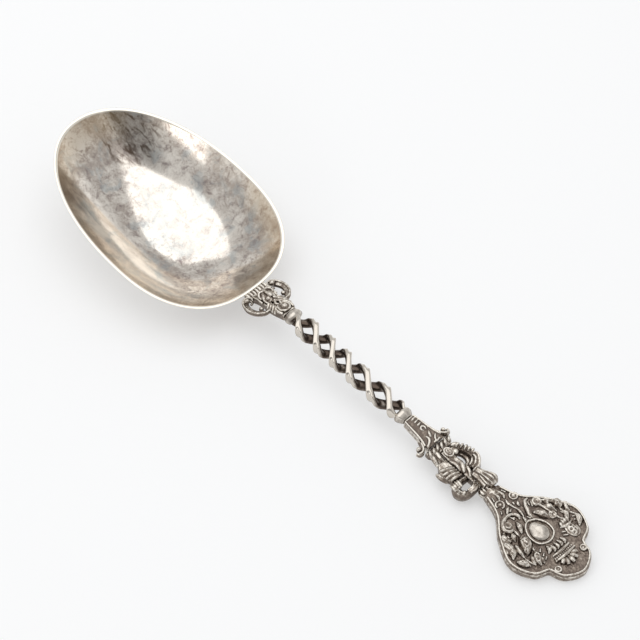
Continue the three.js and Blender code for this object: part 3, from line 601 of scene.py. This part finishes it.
def makeBlock(name, node, small, big):
    # from its small end to its big one, then a dome that the strands grow out of; each end is (x, half width)
    wax = bmesh.new()
    (smallX, smallHalf), (bigX, bigHalf) = small, big
    dome = math.copysign(twist["dome"], bigX - smallX)
    profile = [(smallX, smallHalf), ((smallX + bigX) / 2, (smallHalf + bigHalf) / 2 + 0.1), (bigX, bigHalf),
               (bigX + 0.6 * dome, 0.85 * bigHalf), (bigX + dome, 0.5 * bigHalf)]
    addWires(wax, [[(x, 0, 0, half) for x, half in profile]], tall=0.7)
    castPiece(name, wax, stemPlace, node, relief=0.2, slot="polished_silver", material=rubbedSilver)


makeStrand("twistStrandA", "twist_strand_a", twist["phase"])
makeStrand("twistStrandB", "twist_strand_b", twist["phase"] + 180)
makeBlock("stemBlockHeel", "stem_block_heel", (-0.3, 2.2), (1.2, 3.0))
makeBlock("stemBlockCapital", "stem_block_capital", (45.7, 1.9), (43.8, 3.0))
print("stem wrung")

# capital: a tapering pilaster with hooked volutes and a leaf

capital = dict(floor=-1.6, face=1.1)


def makeShaft():
    wax = bmesh.new()
    edge = smoothLine([(0.05, 1.8), (5.7, 2.4), (10.35, 3.0)])
    addPlate(wax, bothSides(edge), capital["floor"], capital["face"], 0.25)
    rails = [[(0.2, 1.6, 1.15, 0.26), (5.2, 2.1, 1.2, 0.3), (7.6, 2.5, 1.2, 0.34), (9.2, 3.0, 1.1, 0.34)]]
    bands = [[(0.25, -1.5, 1.1, 0.24), (0.25, 1.5, 1.1, 0.24)]]
    ribs = [[(x, 0.0, 1.15, 0.24), (x - 0.1, 0.7, 1.25, 0.3), (x - 0.2, 1.4, 1.15, 0.22)]
            for x in (1.1, 2.2, 3.3)]
    husk = [[(5.6, 0.9, 1.15, 0.24), (4.9, 1.2, 1.2, 0.3), (4.2, 0.7, 1.2, 0.3), (4.6, 0.0, 1.2, 0.3),
             (5.5, 0.1, 1.15, 0.22)],
            [(6.4, 1.2, 1.15, 0.26), (7.2, 0.6, 1.25, 0.42), (8.2, 0.3, 1.15, 0.24)],
            [(7.2, -0.6, 1.15, 0.24), (8.4, -0.7, 1.25, 0.42), (9.2, -1.4, 1.25, 0.4),
             (9.8, -2.6, 1.15, 0.3)],
            [(8.2, 2.0, 1.15, 0.24), (9.0, 1.0, 1.25, 0.36), (9.9, 0.5, 1.2, 0.34)],
            [(9.9, -0.4, 1.2, 0.3), (10.1, 0.9, 1.2, 0.3), (9.8, 2.0, 1.15, 0.26)]]
    addWires(wax, rails + toSide(rails, -1) + bands + ribs + husk)
    castPiece("capitalShaft", wax, capitalPlace, "capital_shaft", relief=0.1,
              ground=(capital["face"], 0.25), shade=0.0)


def makeVolute(name, node, side):
    wax = bmesh.new()
    strokes = [[(6.6, 2.7, -0.2, 0.4), (8.0, 3.1, -0.2, 0.5), (9.3, 3.8, -0.2, 0.55),
                (10.0, 4.7, -0.2, 0.55), (9.8, 5.6, -0.2, 0.5), (9.0, 5.9, -0.2, 0.4)]]
    edge = [[(7.6, 2.9, 0.9, 0.26), (9.0, 3.5, 1.0, 0.3), (9.9, 4.6, 1.0, 0.3), (9.8, 5.6, 0.9, 0.26)]]
    addWires(wax, toSide(strokes, side), tall=2.0)
    addWires(wax, toSide(edge, side))
    addBall(wax, 8.6, 4.7 * side, 0.3, 0.72, 0.72, 1.0)
    castPiece(name, wax, capitalPlace, node, relief=0.14)


def makeLeaf():
    wax = bmesh.new()
    edge = smoothLine([(10.6, 4.2), (12.0, 4.3), (13.2, 3.2)])
    addPlate(wax, bothSides(edge), -1.4, 0.6, 0.4)
    bars = []
    for k in range(6):
        y = -3.7 + 1.45 * k
        bars.append([(10.5 + 0.3 * (k % 2), y + 0.9, 0.6, 0.3), (11.8, y, 0.95, 0.5),
                     (13.2 - 0.4 * (k % 3), y - 0.5, 0.5, 0.34)])
    tips = [[(12.2, -1.9, 0.6, 0.5), (14.0, -2.3, 0.5, 0.75), (16.2, -2.2, 0.1, 0.5)],
            [(12.0, -3.4, 0.5, 0.5), (13.8, -3.9, 0.3, 0.75), (15.8, -4.4, -0.1, 0.5)]]
    foot = [[(12.4, -3.0, -0.4, 1.0), (14.0, -3.2, -0.5, 1.1), (15.6, -3.3, -0.6, 0.9)]]
    addWires(wax, bars + tips + foot)
    castPiece("capitalLeaf", wax, capitalPlace, "capital_leaf", relief=0.24)


makeShaft()
makeVolute("capitalVoluteRight", "capital_volute_right", 1)
makeVolute("capitalVoluteLeft", "capital_volute_left", -1)
makeLeaf()
print("capital cast")

# knop: openwork of a ribbed loop on each side of a core, a feathered wing, a volute and a bud

knop = dict(budOut=2.05, budUp=2.6)


def makeCore():
    wax = bmesh.new()
    addPlate(wax, [(0.05, -1.3), (14.55, -1.3), (14.55, 1.3), (0.05, 1.3)], -1.7, 1.0, 0.4)
    leaves = [[(2.6, -0.3, 0.9, 0.5), (4.6, 0.2, 1.1, 0.85), (6.4, 0.5, 1.2, 0.5)],
              [(5.4, 0.9, 1.1, 0.4), (6.8, 0.1, 1.3, 0.75), (8.6, -1.0, 1.1, 0.4)],
              [(7.6, 1.0, 1.0, 0.4), (9.0, 0.4, 1.1, 0.6), (10.6, -0.7, 1.0, 0.4)],
              [(3.4, -1.1, 0.7, 0.35), (5.4, -0.8, 0.9, 0.5), (7.4, -1.2, 0.8, 0.3)]]
    folds = [[(10.8 + 1.1 * k, 1.1, 1.0, 0.3), (11.8 + 1.0 * k, 0.3, 1.2, 0.42),
              (12.3 + 0.9 * k, -0.9, 1.0, 0.3)] for k in range(3)]
    addWires(wax, leaves + folds)
    castPiece("knopCore", wax, knopPlace, "knop_core", relief=0.21)


def makeRightLoop():
    wax = bmesh.new()
    # a thick arch with a lower lip on its inside
    arch = [(1.0, 1.5, -0.5, 1.0), (1.2, 2.8, -0.5, 1.15), (2.2, 4.0, -0.5, 1.2), (3.8, 4.7, -0.5, 1.2),
            (5.6, 5.0, -0.5, 1.25), (7.2, 4.7, -0.5, 1.45), (8.4, 3.7, -0.5, 1.55), (9.0, 2.5, -0.5, 1.45),
            (9.2, 1.6, -0.5, 1.2)]
    addWires(wax, [arch], tall=1.7)
    inner = [(1.9, 1.4, -0.9, 0.8), (2.3, 2.7, -0.9, 0.8), (3.6, 3.5, -0.9, 0.7), (5.2, 3.6, -0.9, 0.7),
             (6.5, 3.0, -0.9, 0.75), (7.2, 1.5, -0.9, 0.8)]
    addWires(wax, [inner], tall=1.2)
    addBall(wax, 2.3, 2.2, 0.4, 1.1, 1.2, 1.0, 30)  # the nape beside the volute
    ridges = []
    for x, y in ((1.2, 4.5), (2.2, 5.2), (3.2, 5.7), (4.2, 6.0), (5.2, 6.3)):
        ridges.append([(x + 0.4, y - 1.7, 1.3, 0.26), (x + 0.1, y - 0.7, 1.7, 0.4),
                       (x - 0.1, y + 0.1, 0.9, 0.34)])
    curls = [[(9.9, 1.8, 1.2, 0.34), (9.6, 3.5, 1.6, 0.42), (8.3, 5.0, 1.8, 0.44), (6.7, 5.7, 1.7, 0.38),
              (5.8, 5.0, 1.7, 0.3)],
             [(8.9, 1.7, 1.4, 0.3), (8.6, 3.1, 1.8, 0.38), (7.5, 4.4, 1.9, 0.4), (6.4, 4.5, 1.8, 0.3)],
             [(7.9, 1.8, 1.3, 0.3), (7.6, 2.8, 1.7, 0.36), (6.9, 3.6, 1.7, 0.3)]]
    addWires(wax, ridges + curls)
    addBall(wax, 0.7, 3.2, 1.2, 0.75, 1.2, 0.75, -20)
    castPiece("knopLoopRight", wax, knopPlace, "knop_loop_right", relief=0.21, shadedHollows=[(4.4, 2.5, 2.3)])


def makeLeftLoop():
    wax = bmesh.new()
    arch = [(9.7, -1.4, -0.5, 0.9), (9.5, -3.2, -0.5, 1.05), (10.0, -5.2, -0.5, 1.25),
            (11.1, -6.2, -0.5, 1.3), (12.6, -5.9, -0.5, 1.2), (13.5, -4.6, -0.5, 1.05),
            (13.7, -3.0, -0.5, 0.95), (13.6, -1.4, -0.5, 0.9)]
    addWires(wax, [arch], tall=1.75)
    ribs = [[(8.9, -4.4 - 0.8 * k, 1.2, 0.28), (9.9, -4.6 - 0.8 * k, 1.7, 0.4),
             (11.3, -4.8 - 0.75 * k, 1.5, 0.34)] for k in range(4)]
    folds = [[(12.4 + 0.75 * k, -1.2, 1.3, 0.3), (13.1 + 0.6 * k, -2.6, 1.5, 0.34),
              (13.0 + 0.55 * k, -4.4, 1.3, 0.3)] for k in range(3)]
    addWires(wax, ribs + folds)
    addBall(wax, 12.9, -5.6, 1.1, 0.6, 0.9, 0.7, 20)
    castPiece("knopLoopLeft", wax, knopPlace, "knop_loop_left", relief=0.21, shadedHollows=[(11.8, -3.2, 1.7)])


def makeWing():
    wax = bmesh.new()
    outline = [(2.0, -1.45), (8.5, -1.45), (8.5, -5.2), (5.5, -6.4), (3.4, -5.4), (2.0, -4.2)]
    addPlate(wax, outline, -1.3, 0.6, 0.3)
    feathers = [[(5.6 + 0.9 * k, -1.7, 0.6, 0.4), (4.7 + 1.1 * k, -3.6, 0.9, 0.62),
                 (3.9 + 1.3 * k, -5.3 - 0.6 * (k % 3 > 0), 0.45, 0.52)] for k in range(4)]
    addWires(wax, feathers)
    addBall(wax, 5.4, -6.0, -0.5, 2.2, 0.8, 0.9, 8)
    castPiece("knopWing", wax, knopPlace, "knop_wing", grain=0.11, relief=0.18)


def makeDisc():
    wax = bmesh.new()
    addBall(wax, 1.6, 0, 1.7, 1.6, 1.25, 0.6)
    addWires(wax, [ring(1.6, 0, 2.0, 1.45, 0.26, squeeze=0.72), ring(1.6, 0, 2.2, 0.75, 0.24, squeeze=0.6)])
    castPiece("knopVoluteDisc", wax, knopPlace, "knop_volute_disc", grain=0.1, relief=0.13)


def makeBud():
    wax = bmesh.new()
    y, z = knop["budOut"], knop["budUp"]
    addWires(wax, [[(10.0, y - 0.8, z, 0.9), (12.0, y - 0.5, z, 1.15), (13.6, y - 0.3, z, 1.6),
                    (15.2, y - 0.2, z, 1.85), (16.6, y - 0.2, z - 0.2, 1.5), (17.0, y - 0.2, z - 0.3, 0.9)],
                   [(10.6, y - 1.9, z - 0.8, 0.9), (13.0, y - 1.7, z - 0.9, 1.2),
                    (15.6, y - 1.8, z - 0.9, 1.3)]])
    flutes = []
    for k in range(9):
        angle = math.radians(-50 + 35 * k)
        out, up = math.cos(angle), math.sin(angle)
        flutes.append([(12.4, y - 0.5 + 1.15 * out, z + 1.15 * up, 0.16),
                       (15.2, y - 0.2 + 1.9 * out, z + 1.9 * up, 0.34),
                       (16.8, y - 0.2 + 1.2 * out, z - 0.2 + 1.2 * up, 0.22)])
    addWires(wax, flutes)
    addWires(wax, [[(10.3, y - 0.8 + 0.95 * math.cos(a), z + 0.95 * math.sin(a), 0.22)
                    for a in np.linspace(0, math.tau, 13)]])
    castPiece("knopBud", wax, knopPlace, "knop_bud", grain=0.11, relief=0.12)


def makeCollar():
    wax = bmesh.new()
    addWires(wax, [[(14.75, 0, 0, 1.7), (15.9, 0, 0, 2.2), (17.15, 0, 0, 1.9)]], tall=0.72)
    flutes = []
    for k in range(12):
        angle = math.radians(30 * k)
        y, up = 2.15 * math.cos(angle), 1.55 * math.sin(angle)
        flutes.append([(14.8, 0.85 * y, 0.85 * up, 0.2), (15.9, y, up, 0.36),
                       (17.1, 0.9 * y, 0.9 * up, 0.24)])
    addWires(wax, flutes)
    castPiece("knopCollar", wax, knopPlace, "knop_collar", relief=0.13)


makeCore()
makeRightLoop()
makeLeftLoop()
makeWing()
makeDisc()
makeBud()
makeCollar()
print("knop cast")

# terminal: lobed plate with a raised edge, an oval boss and scrollwork, z = 0 on the plate's face

terminal = dict(thickness=2.4, edge=0.6, rim=0.33, rimInset=0.58, square=0.28, bold=1.45,
                side=[(0, 2.7), (6.2, 4.8), (11.7, 9.5), (19, 13.1), (25.4, 11.0), (27.6, 6.9)],
                end=[(27.6, 6.9), (31.6, 5.2), (34, 0), (31.6, -5.2), (27.6, -6.9)])


def terminalEdge():
    side = [tuple(p) for p in smoothLine(terminal["side"], 8)]
    end = [tuple(p) for p in smoothLine(terminal["end"], 8)][1:-1]
    return side + end + [(x, -y) for x, y in reversed(side)]


def drawnIn(outline, inset):
    # the outline moved inwards, square to its own run
    points = [Vector(p) for p in outline]
    out = []
    for before, here, after in zip(points[:1] + points, points, points[1:] + points[-1:]):
        run = (after - before).normalized()
        out.append(here + inset * Vector((run.y, -run.x)))
    return out


def flat(strokes, z=0.2, full=1.0):
    # strokes drawn in plan as (along, across, radius) in squares of a drawing
    # their ends are pointed, and they are half sunk in the field
    square = terminal["square"]
    out = []
    for stroke in strokes:
        taper = [0.6] + [full] * (len(stroke) - 2) + [0.6]
        wide = [r * k * square * terminal["bold"] for (x, y, r), k in zip(stroke, taper)]
        out.append([(x * square, y * square, z, w) for (x, y, r), w in zip(stroke, wide)])
    return out


def makePlate():
    wax = bmesh.new()
    addPlate(wax, terminalEdge(), -terminal["thickness"], 0, terminal["edge"])
    root = [(-0.5, 0, -1.0, 2.4), (1.0, 0, -1.0, 2.6), (3.2, 0, -1.2, 2.4)]  # it grows out of the collar
    addWires(wax, [root], tall=0.6)
    rightLeaves = [[(43.5, 26.5, 0.9), (46, 29, 1.4), (48, 30.5, 1)],
                   [(47.5, 32, 1.2), (52, 34.6, 2.4), (56.5, 34.4, 2), (59.5, 32.8, 0.9)],
                   [(55, 39, 0.9), (59.5, 39.4, 1.1), (63.5, 37.6, 1.2), (69, 37.3, 0.9)],
                   [(71, 39, 1), (76, 39, 1.5), (80.5, 36.5, 1.7), (84.5, 32.5, 1)],
                   [(45.5, 24, 1), (51, 26.8, 1.7), (59.5, 28.5, 1)],
                   [(44, 10.5, 1), (48.5, 14, 1.8), (54, 16.6, 2.1), (60, 18, 1.1)],
                   [(61, 30.5, 1), (66, 33, 1.5), (72.5, 31, 1)],
                   [(75, 32, 1), (76.5, 25, 1.3), (73.5, 17, 1)]]
    leftLeaves = [[(41, -8.5, 1), (47, -10.5, 1.6), (53.5, -14, 1.3)],
                  [(54, -18, 1.3), (60, -19, 2.8), (66, -21.5, 3.1), (71, -25.5, 1.7), (73.5, -28, 0.8)],
                  [(46, -20.5, 1), (51, -23, 1.5), (55.5, -25, 1)],
                  [(57, -27.5, 1), (64.5, -29.9, 1.5), (73, -31.5, 1)],
                  [(44, -26, 1), (45, -30, 1.7), (49, -31.2, 1.8), (51.3, -29, 1.4), (49.3, -27, 0.9)],
                  [(47, -34.4, 1), (52, -34.4, 1.7), (58, -34.8, 2), (63.5, -37, 2), (67.5, -40.8, 1)],
                  [(54.5, -38.6, 0.8), (57.5, -38.2, 1), (59.5, -40.6, 0.9)],
                  [(70.5, -40.6, 1.1), (74.5, -38.2, 1.8), (79.5, -35.7, 1.8), (83.5, -33.4, 1)],
                  [(78, -7, 1), (83, -8, 1.4), (85.5, -11.5, 1)]]
    tufts = [[(56, 41.4, 0.9), (59, 43.2, 0.8)], [(61.5, 41.8, 0.9), (64.5, 43.2, 0.8)],
             [(26, 9.5, 0.9), (28.5, 7, 1.3), (31.5, 6.5, 0.9)], [(24, 4.5, 1.2), (27, 4, 1)],
             [(32.5, 15.5, 0.9), (37.5, 13.8, 1.1)], [(34.5, 18.2, 0.9), (40, 15.2, 1.1)],
             [(44, 3.2, 0.9), (48, 4.6, 1.1)], [(41.5, -0.2, 0.9), (45.5, -1, 1.2), (48, -2.6, 0.9)],
             [(33, -9.5, 0.9), (38.5, -8, 1.1)], [(25, -2, 0.9), (27, -6, 1.5), (30, -9, 1)],
             [(28, -1.5, 0.9), (30, -5, 1.3)], [(76, -13, 0.9), (79, -16.5, 1.3)],
             [(81.5, -14, 0.9), (84, -17.5, 1.2)], [(86, -15, 0.9), (88, -18.5, 1.1)],
             [(23, -10.5, 0.8), (26.5, -13, 1.1)], [(36, -27, 0.8), (40.5, -30, 1)]]
    teeth = [[(72.5 + 3.4 * k, 34.8 - 1.4 * k, 0.7), (74 + 3.3 * k, 37.4 - 1.3 * k, 0.9)] for k in range(3)]
    hatching = [[(66.5 + 0.5 * k, 30 - 3.1 * k, 0.8), (70.5 + 0.3 * k, 29.5 - 3.1 * k, 1.3),
                 (74.5, 28 - 3.1 * k, 0.9)] for k in range(4)]
    rays = [[(81, 13, 0.9), (84, 17.5, 1.3)], [(77.5, 14.5, 0.9), (80, 18, 1.2)]]
    rays += [[(80.3, 9 - 4.3 * k, 0.9), (85.5, 9.8 - 4.6 * k, 1.5), (88.4, 7.8 - 4.6 * k, 0.9)]
             for k in range(4)]
    neck = [[(5, 3, 0.9), (12, 3.6, 1.3), (16, 2.2, 1)], [(5, -1.5, 0.9), (11, -1.4, 1.2), (14, -3, 0.8)],
            [(7, 6.5, 0.9), (12, 8, 1)], [(7, -6, 0.9), (12, -8, 1)],
            [(30, 2.5, 0.9), (36, 2, 1.2), (42, 1, 0.9)]]
    vines = [[(38, 17, 1), (44, 21.5, 1.1), (52, 23, 1), (60, 23.5, 1.1), (68, 26, 0.9)],
             [(48, 32, 1), (44, 30.5, 1.1), (40, 26, 1)], [(45, -17, 1), (49, -17.5, 1.1), (54, -18, 1)],
             [(41, -24.5, 1), (43.5, -29, 1.1), (47, -33.6, 1)],
             [(73, -31.5, 1), (78, -32, 1.1), (85, -29.5, 1)],
             [(60, -19.5, 1), (66, -17, 1.1), (74, -19, 1)], [(17, 2, 1), (22, 0.5, 1.1), (30, 2, 1)],
             [(59.5, 32.5, 1), (66, 36, 1), (71, 38.6, 1)]]
    addWires(wax, flat(rightLeaves + leftLeaves, 0.1, 1.4), tall=1.3)
    addWires(wax, flat(vines), tall=1.2)
    addWires(wax, flat(tufts + teeth + hatching + rays + neck), tall=1.5)
    addWires(wax, [ring(5.4, 3.0, 0.15, 1.05, 0.3, start=-200, end=130),
                   ring(5.0, -1.8, 0.15, 1.15, 0.34, start=-20, end=280), ring(16.5, 6.3, 0.2, 0.9, 0.4),
                   ring(13.4, -8.0, 0.2, 0.6, 0.3, start=60, end=330)], tall=1.2)
    for x, y, r in ((16.5, 6.3, 0.6), (5.4, 3.0, 0.65), (5.0, -1.8, 0.65)):
        addBall(wax, x, y, 0.15, r, r, 0.55 * r + 0.25)
    pits = [(16.5, 6.3, 0.4), (16.2, -5.2, 0.42), (17.6, -5.5, 0.38), (18.7, -6.2, 0.42), (17.0, -6.2, 0.3),
            (19.6, -7.4, 0.34), (21.2, -10.5, 0.34), (22.3, -10.0, 0.34), (14.4, 10.2, 0.4),
            (15.6, 10.0, 0.34)]
    castPiece("terminalPlate", wax, fieldPlace, "terminal_plate", grain=0.13, filing=3, reach=20,
              relief=0.13, ground=(0.04, 0.4), pits=pits, shade=0.2, matting=0.09)


def makeRimWire():
    wax = bmesh.new()
    line = drawnIn(terminalEdge(), terminal["rimInset"])
    addWires(wax, [[(x, y, 0.15, terminal["rim"]) for x, y in line[1:-1]]], tall=1.2, steps=1)
    castPiece("terminalRim", wax, fieldPlace, "terminal_rim_wire", grain=0.11, relief=0.14,
              slot="polished_silver")


def makeBoss():
    # egg-shaped, its narrow end towards the neck
    wax = bmesh.new()
    half = [(13.5, 0.0), (14.5, 2.0), (17.2, 3.35), (20.2, 2.8), (21.5, 0.0)]
    loop = half + [(x, -y) for x, y in reversed(half[1:-1])] + half[:2]
    addWires(wax, [[(x, y, 0.25, 0.32) for x, y in loop]], tall=1.3, steps=8)
    castPiece("bossBezel", wax, fieldPlace, "boss_bezel", grain=0.11, relief=0.12, slot="polished_silver")
    wax = bmesh.new()
    addBall(wax, 17.8, 0, 0.15, 2.85, 2.6, 0.95)
    addBall(wax, 16.6, 0, 0.15, 2.3, 2.0, 0.8)
    castPiece("bossCabochon", wax, fieldPlace, "boss_cabochon", grain=0.12, filing=6,
              slot="polished_silver", material=rubbedSilver, relief=0.3)


def makeTerminalScrolls():
    right = [[(30.5, 18.5, 0.9), (31, 14.3, 1.3), (34, 11.4, 1.5), (38.2, 9, 1.6), (42.5, 6.8, 1.5),
              (46.5, 6, 1.2), (48.8, 6.8, 0.8)]]
    left = [[(32.8, -3.5, 0.9), (31.8, -8.6, 1.3), (31.8, -13.2, 1.5), (33.2, -18.2, 1.6),
             (36.4, -22.1, 1.7), (40.7, -23.9, 1.7), (44, -22.1, 1.5), (45.4, -19, 1.3), (44, -16.1, 0.9)],
            [(32.8, -7, 0.9), (35, -3.9, 1.3), (38.6, -2.8, 1.4), (41.5, -4.3, 0.9)],
            [(35.7, -9, 0.8), (37.2, -6.4, 1.1)]]
    for name, node, strokes, eye in (("terminalScrollRight", "terminal_scroll_right", right, (10.9, 6.1)),
                                     ("terminalScrollLeft", "terminal_scroll_left", left, (10.9, -5.0))):
        wax = bmesh.new()
        addWires(wax, flat(strokes, 0.3), tall=1.25)
        addWires(wax, [ring(*eye, 0.3, 0.75 + 0.25 * (eye[1] > 0), 0.5)], tall=1.2)
        addBall(wax, *eye, 0.2, 0.7, 0.7, 0.7)
        castPiece(name, wax, fieldPlace, node, grain=0.11, relief=0.13, pits=[(*eye, 0.42)])


def makeFlowers():
    # on the right a pitted seed head, on the left a curled leaf
    wax = bmesh.new()
    addBall(wax, 23.1, 7.0, 0.1, 2.1, 1.5, 0.95, -8)
    addWires(wax, [ring(23.1, 7.0, 0.1, 2.1, 0.36, squeeze=0.74)])
    pits = [(22.0, 7.3, 0.5), (23.0, 6.5, 0.55), (23.7, 7.6, 0.5), (24.2, 6.5, 0.42), (22.9, 7.5, 0.3)]
    castPiece("terminalFlowerRight", wax, fieldPlace, "terminal_flower_right", grain=0.1, relief=0.15,
              pits=pits)
    wax = bmesh.new()
    addWires(wax, flat([[(74, -19.5, 1.2), (78, -21, 2.4), (83, -24, 2.7), (89.5, -26, 1.2)],
                        [(75.5, -25.5, 1.1), (80, -27.5, 1.9), (86, -30, 1.1)],
                        [(82, -19.5, 1), (86, -21, 1.5), (90, -22, 1)]], 0.3), tall=1.2)
    pits = [(22.3, -6.1, 0.5), (23.5, -6.9, 0.45)]
    castPiece("terminalFlowerLeft", wax, fieldPlace, "terminal_flower_left", grain=0.1, relief=0.15,
              pits=pits)


def makeEnd():
    wax = bmesh.new()
    for x, half in ((90.7, 11.4), (96.4, 13.2)):
        addWires(wax, flat([[(x - 0.5, -half, 1.2), (x + 0.4, 0, 1.5), (x - 0.5, half, 1.2)]], 0.3),
                 tall=1.2)
    for k in range(11):
        addBall(wax, 26.2, -3.1 + 0.62 * k, 0.2, 0.4, 0.24, 0.36)
    addPlate(wax, [(25.3, -3.2), (27.0, -3.6), (27.0, 3.6), (25.3, 3.2)], 0.05, 0.2)
    castPiece("crownBand", wax, fieldPlace, "crown_band", grain=0.1, relief=0.12)
    wax = bmesh.new()
    for k in range(5):
        angle = math.radians(-70 + 35 * k)
        x, y = 98 + 10 * math.cos(angle), 11 * math.sin(angle)
        addWires(wax, flat([[(98.6, 0.4 * y, 1.1), (0.5 * (98.6 + x), 0.7 * y, 1.8), (x, y, 2.2)]], 0.25),
                 tall=1.2)
    castPiece("endFan", wax, fieldPlace, "end_fan", grain=0.1, relief=0.13)
    for name, node, side in (("endVoluteRight", "end_volute_right", 1),
                             ("endVoluteLeft", "end_volute_left", -1)):
        wax = bmesh.new()
        x, y = 28.8, 4.9 * side
        addWires(wax, [ring(x, y, 0.3, 0.75, 0.38)], tall=1.2)
        addBall(wax, x, y, 0.15, 0.45, 0.45, 0.45)
        castPiece(name, wax, fieldPlace, node, grain=0.1, relief=0.12)


makePlate()
makeRimWire()
makeBoss()
makeTerminalScrolls()
makeFlowers()
makeEnd()
print("terminal cast")

# stage: pale floor, a large softbox over the table, a low window, and a room that is dark behind the camera

stage = dict(floor=3.0, floorColour="#fafbfc", paper=0.34, paperWhite=0.99, room=0.69, wall=0.97, dark=0.34,
             darkSide=(0.05, -0.74, 0.66), lit=(-0.055, 0, 0.01))
view = dict(target=(-7.07, 8.17, 5.04), azimuth=45.5, elevation=51.2, distance=700, lens=140.6)
cameraSide = Matrix.Rotation(math.radians(view["azimuth"]), 4, "Z")


def makeFloor():
    bm = bmesh.new()
    bmesh.ops.create_grid(bm, x_segments=8, y_segments=8, size=stage["floor"] / 2)
    mesh = meshOf(bm, "floor")
    material, tree, shader = newMaterial("matt white table")
    shader.inputs["Base Color"].default_value = linear(stage["floorColour"])
    shader.inputs["Roughness"].default_value = 0.9
    shader.inputs["Specular IOR Level"].default_value = 0.1
    # seen or mirrored it is mostly paper white, so the shadow on it stays light
    straight, glossy = [addNode(tree, "LightPath", out=ray) for ray in ("Is Camera Ray", "Is Glossy Ray")]
    seen = addNode(tree, "Math", {0: straight, 1: glossy}, operation="MAXIMUM")
    share = addNode(tree, "Math", {0: seen, 1: stage["paper"]}, operation="MULTIPLY")
    paper = addNode(tree, "Emission", {"Strength": stage["paperWhite"]})
    mixed = addNode(tree, "MixShader", {0: share, 1: shader.outputs["BSDF"], 2: paper})
    tree.links.new(mixed, tree.nodes["Material Output"].inputs["Surface"])
    mesh.materials.append(material)
    floor = placed("floor", mesh)


def makeCamera():
    camera = placed("camera", bpy.data.cameras.new("camera"))
    camera.data.lens = view["lens"]
    camera.data.sensor_width = 36
    camera.data.clip_start, camera.data.clip_end = 0.01, 20
    elevation = math.radians(view["elevation"])
    back = cameraSide @ Vector((0, -math.cos(elevation), math.sin(elevation)))
    camera.location = Vector(view["target"]) * mm + back * view["distance"] * mm
    camera.rotation_euler = (-back).to_track_quat("-Z", "Y").to_euler()
    scene.camera = camera


def makeLight(name, lamp):
    # a panel that faces the bowl, placed by how far right, away and up it is from the camera's side, in m
    data = bpy.data.lights.new(name, "AREA")
    data.shape = "RECTANGLE"
    data.size, data.size_y = lamp["size"]
    data.energy = lamp["radiance"] * math.pi * data.size * data.size_y
    light = placed(name, data)
    right, away, up = lamp["place"]
    light.location = Vector(stage["lit"]) + cameraSide @ Vector((right, away, up))
    aim = lamp.get("aim", (right, away, up))
    turn = Vector(aim).to_track_quat("Z", "Y").to_matrix().to_4x4()
    light.rotation_euler = (cameraSide @ turn).to_euler()


def makeRoom():
    # pale walls under a grey ceiling, darker behind the camera
    world = bpy.data.worlds.new("studio")
    scene.world = world
    world.use_nodes = True
    tree = world.node_tree
    ray = addNode(tree, "TexCoord", out="Generated")
    darkSide = cameraSide @ Vector(stage["darkSide"]).normalized()
    facing = addNode(tree, "VectorMath", {0: ray, 1: tuple(darkSide)}, out="Value", operation="DOT_PRODUCT")
    upward = addNode(tree, "SeparateXYZ", {0: ray}, out="Z")
    high = addNode(tree, "MapRange", {"Value": upward, "From Min": 0.2, "From Max": 0.5,
                                      "To Min": stage["wall"], "To Max": stage["room"]}, **eased)
    level = addNode(tree, "MapRange", {"Value": facing, "From Min": 0.90, "From Max": 0.985,
                                       "To Min": high, "To Max": stage["dark"]}, **eased)
    tree.links.new(level, tree.nodes["Background"].inputs["Strength"])
    tree.nodes["Background"].inputs["Color"].default_value = (1, 1, 1, 1)


makeFloor()
makeCamera()
makeLight("softbox", dict(place=(-0.09, 0.18, 0.70), aim=(0, 0, 1), size=(0.9, 1.02), radiance=0.82))
makeLight("window", dict(place=(-0.54, -0.61, 0.36), size=(0.32, 0.18), radiance=1.9))
makeRoom()

print("stage set")
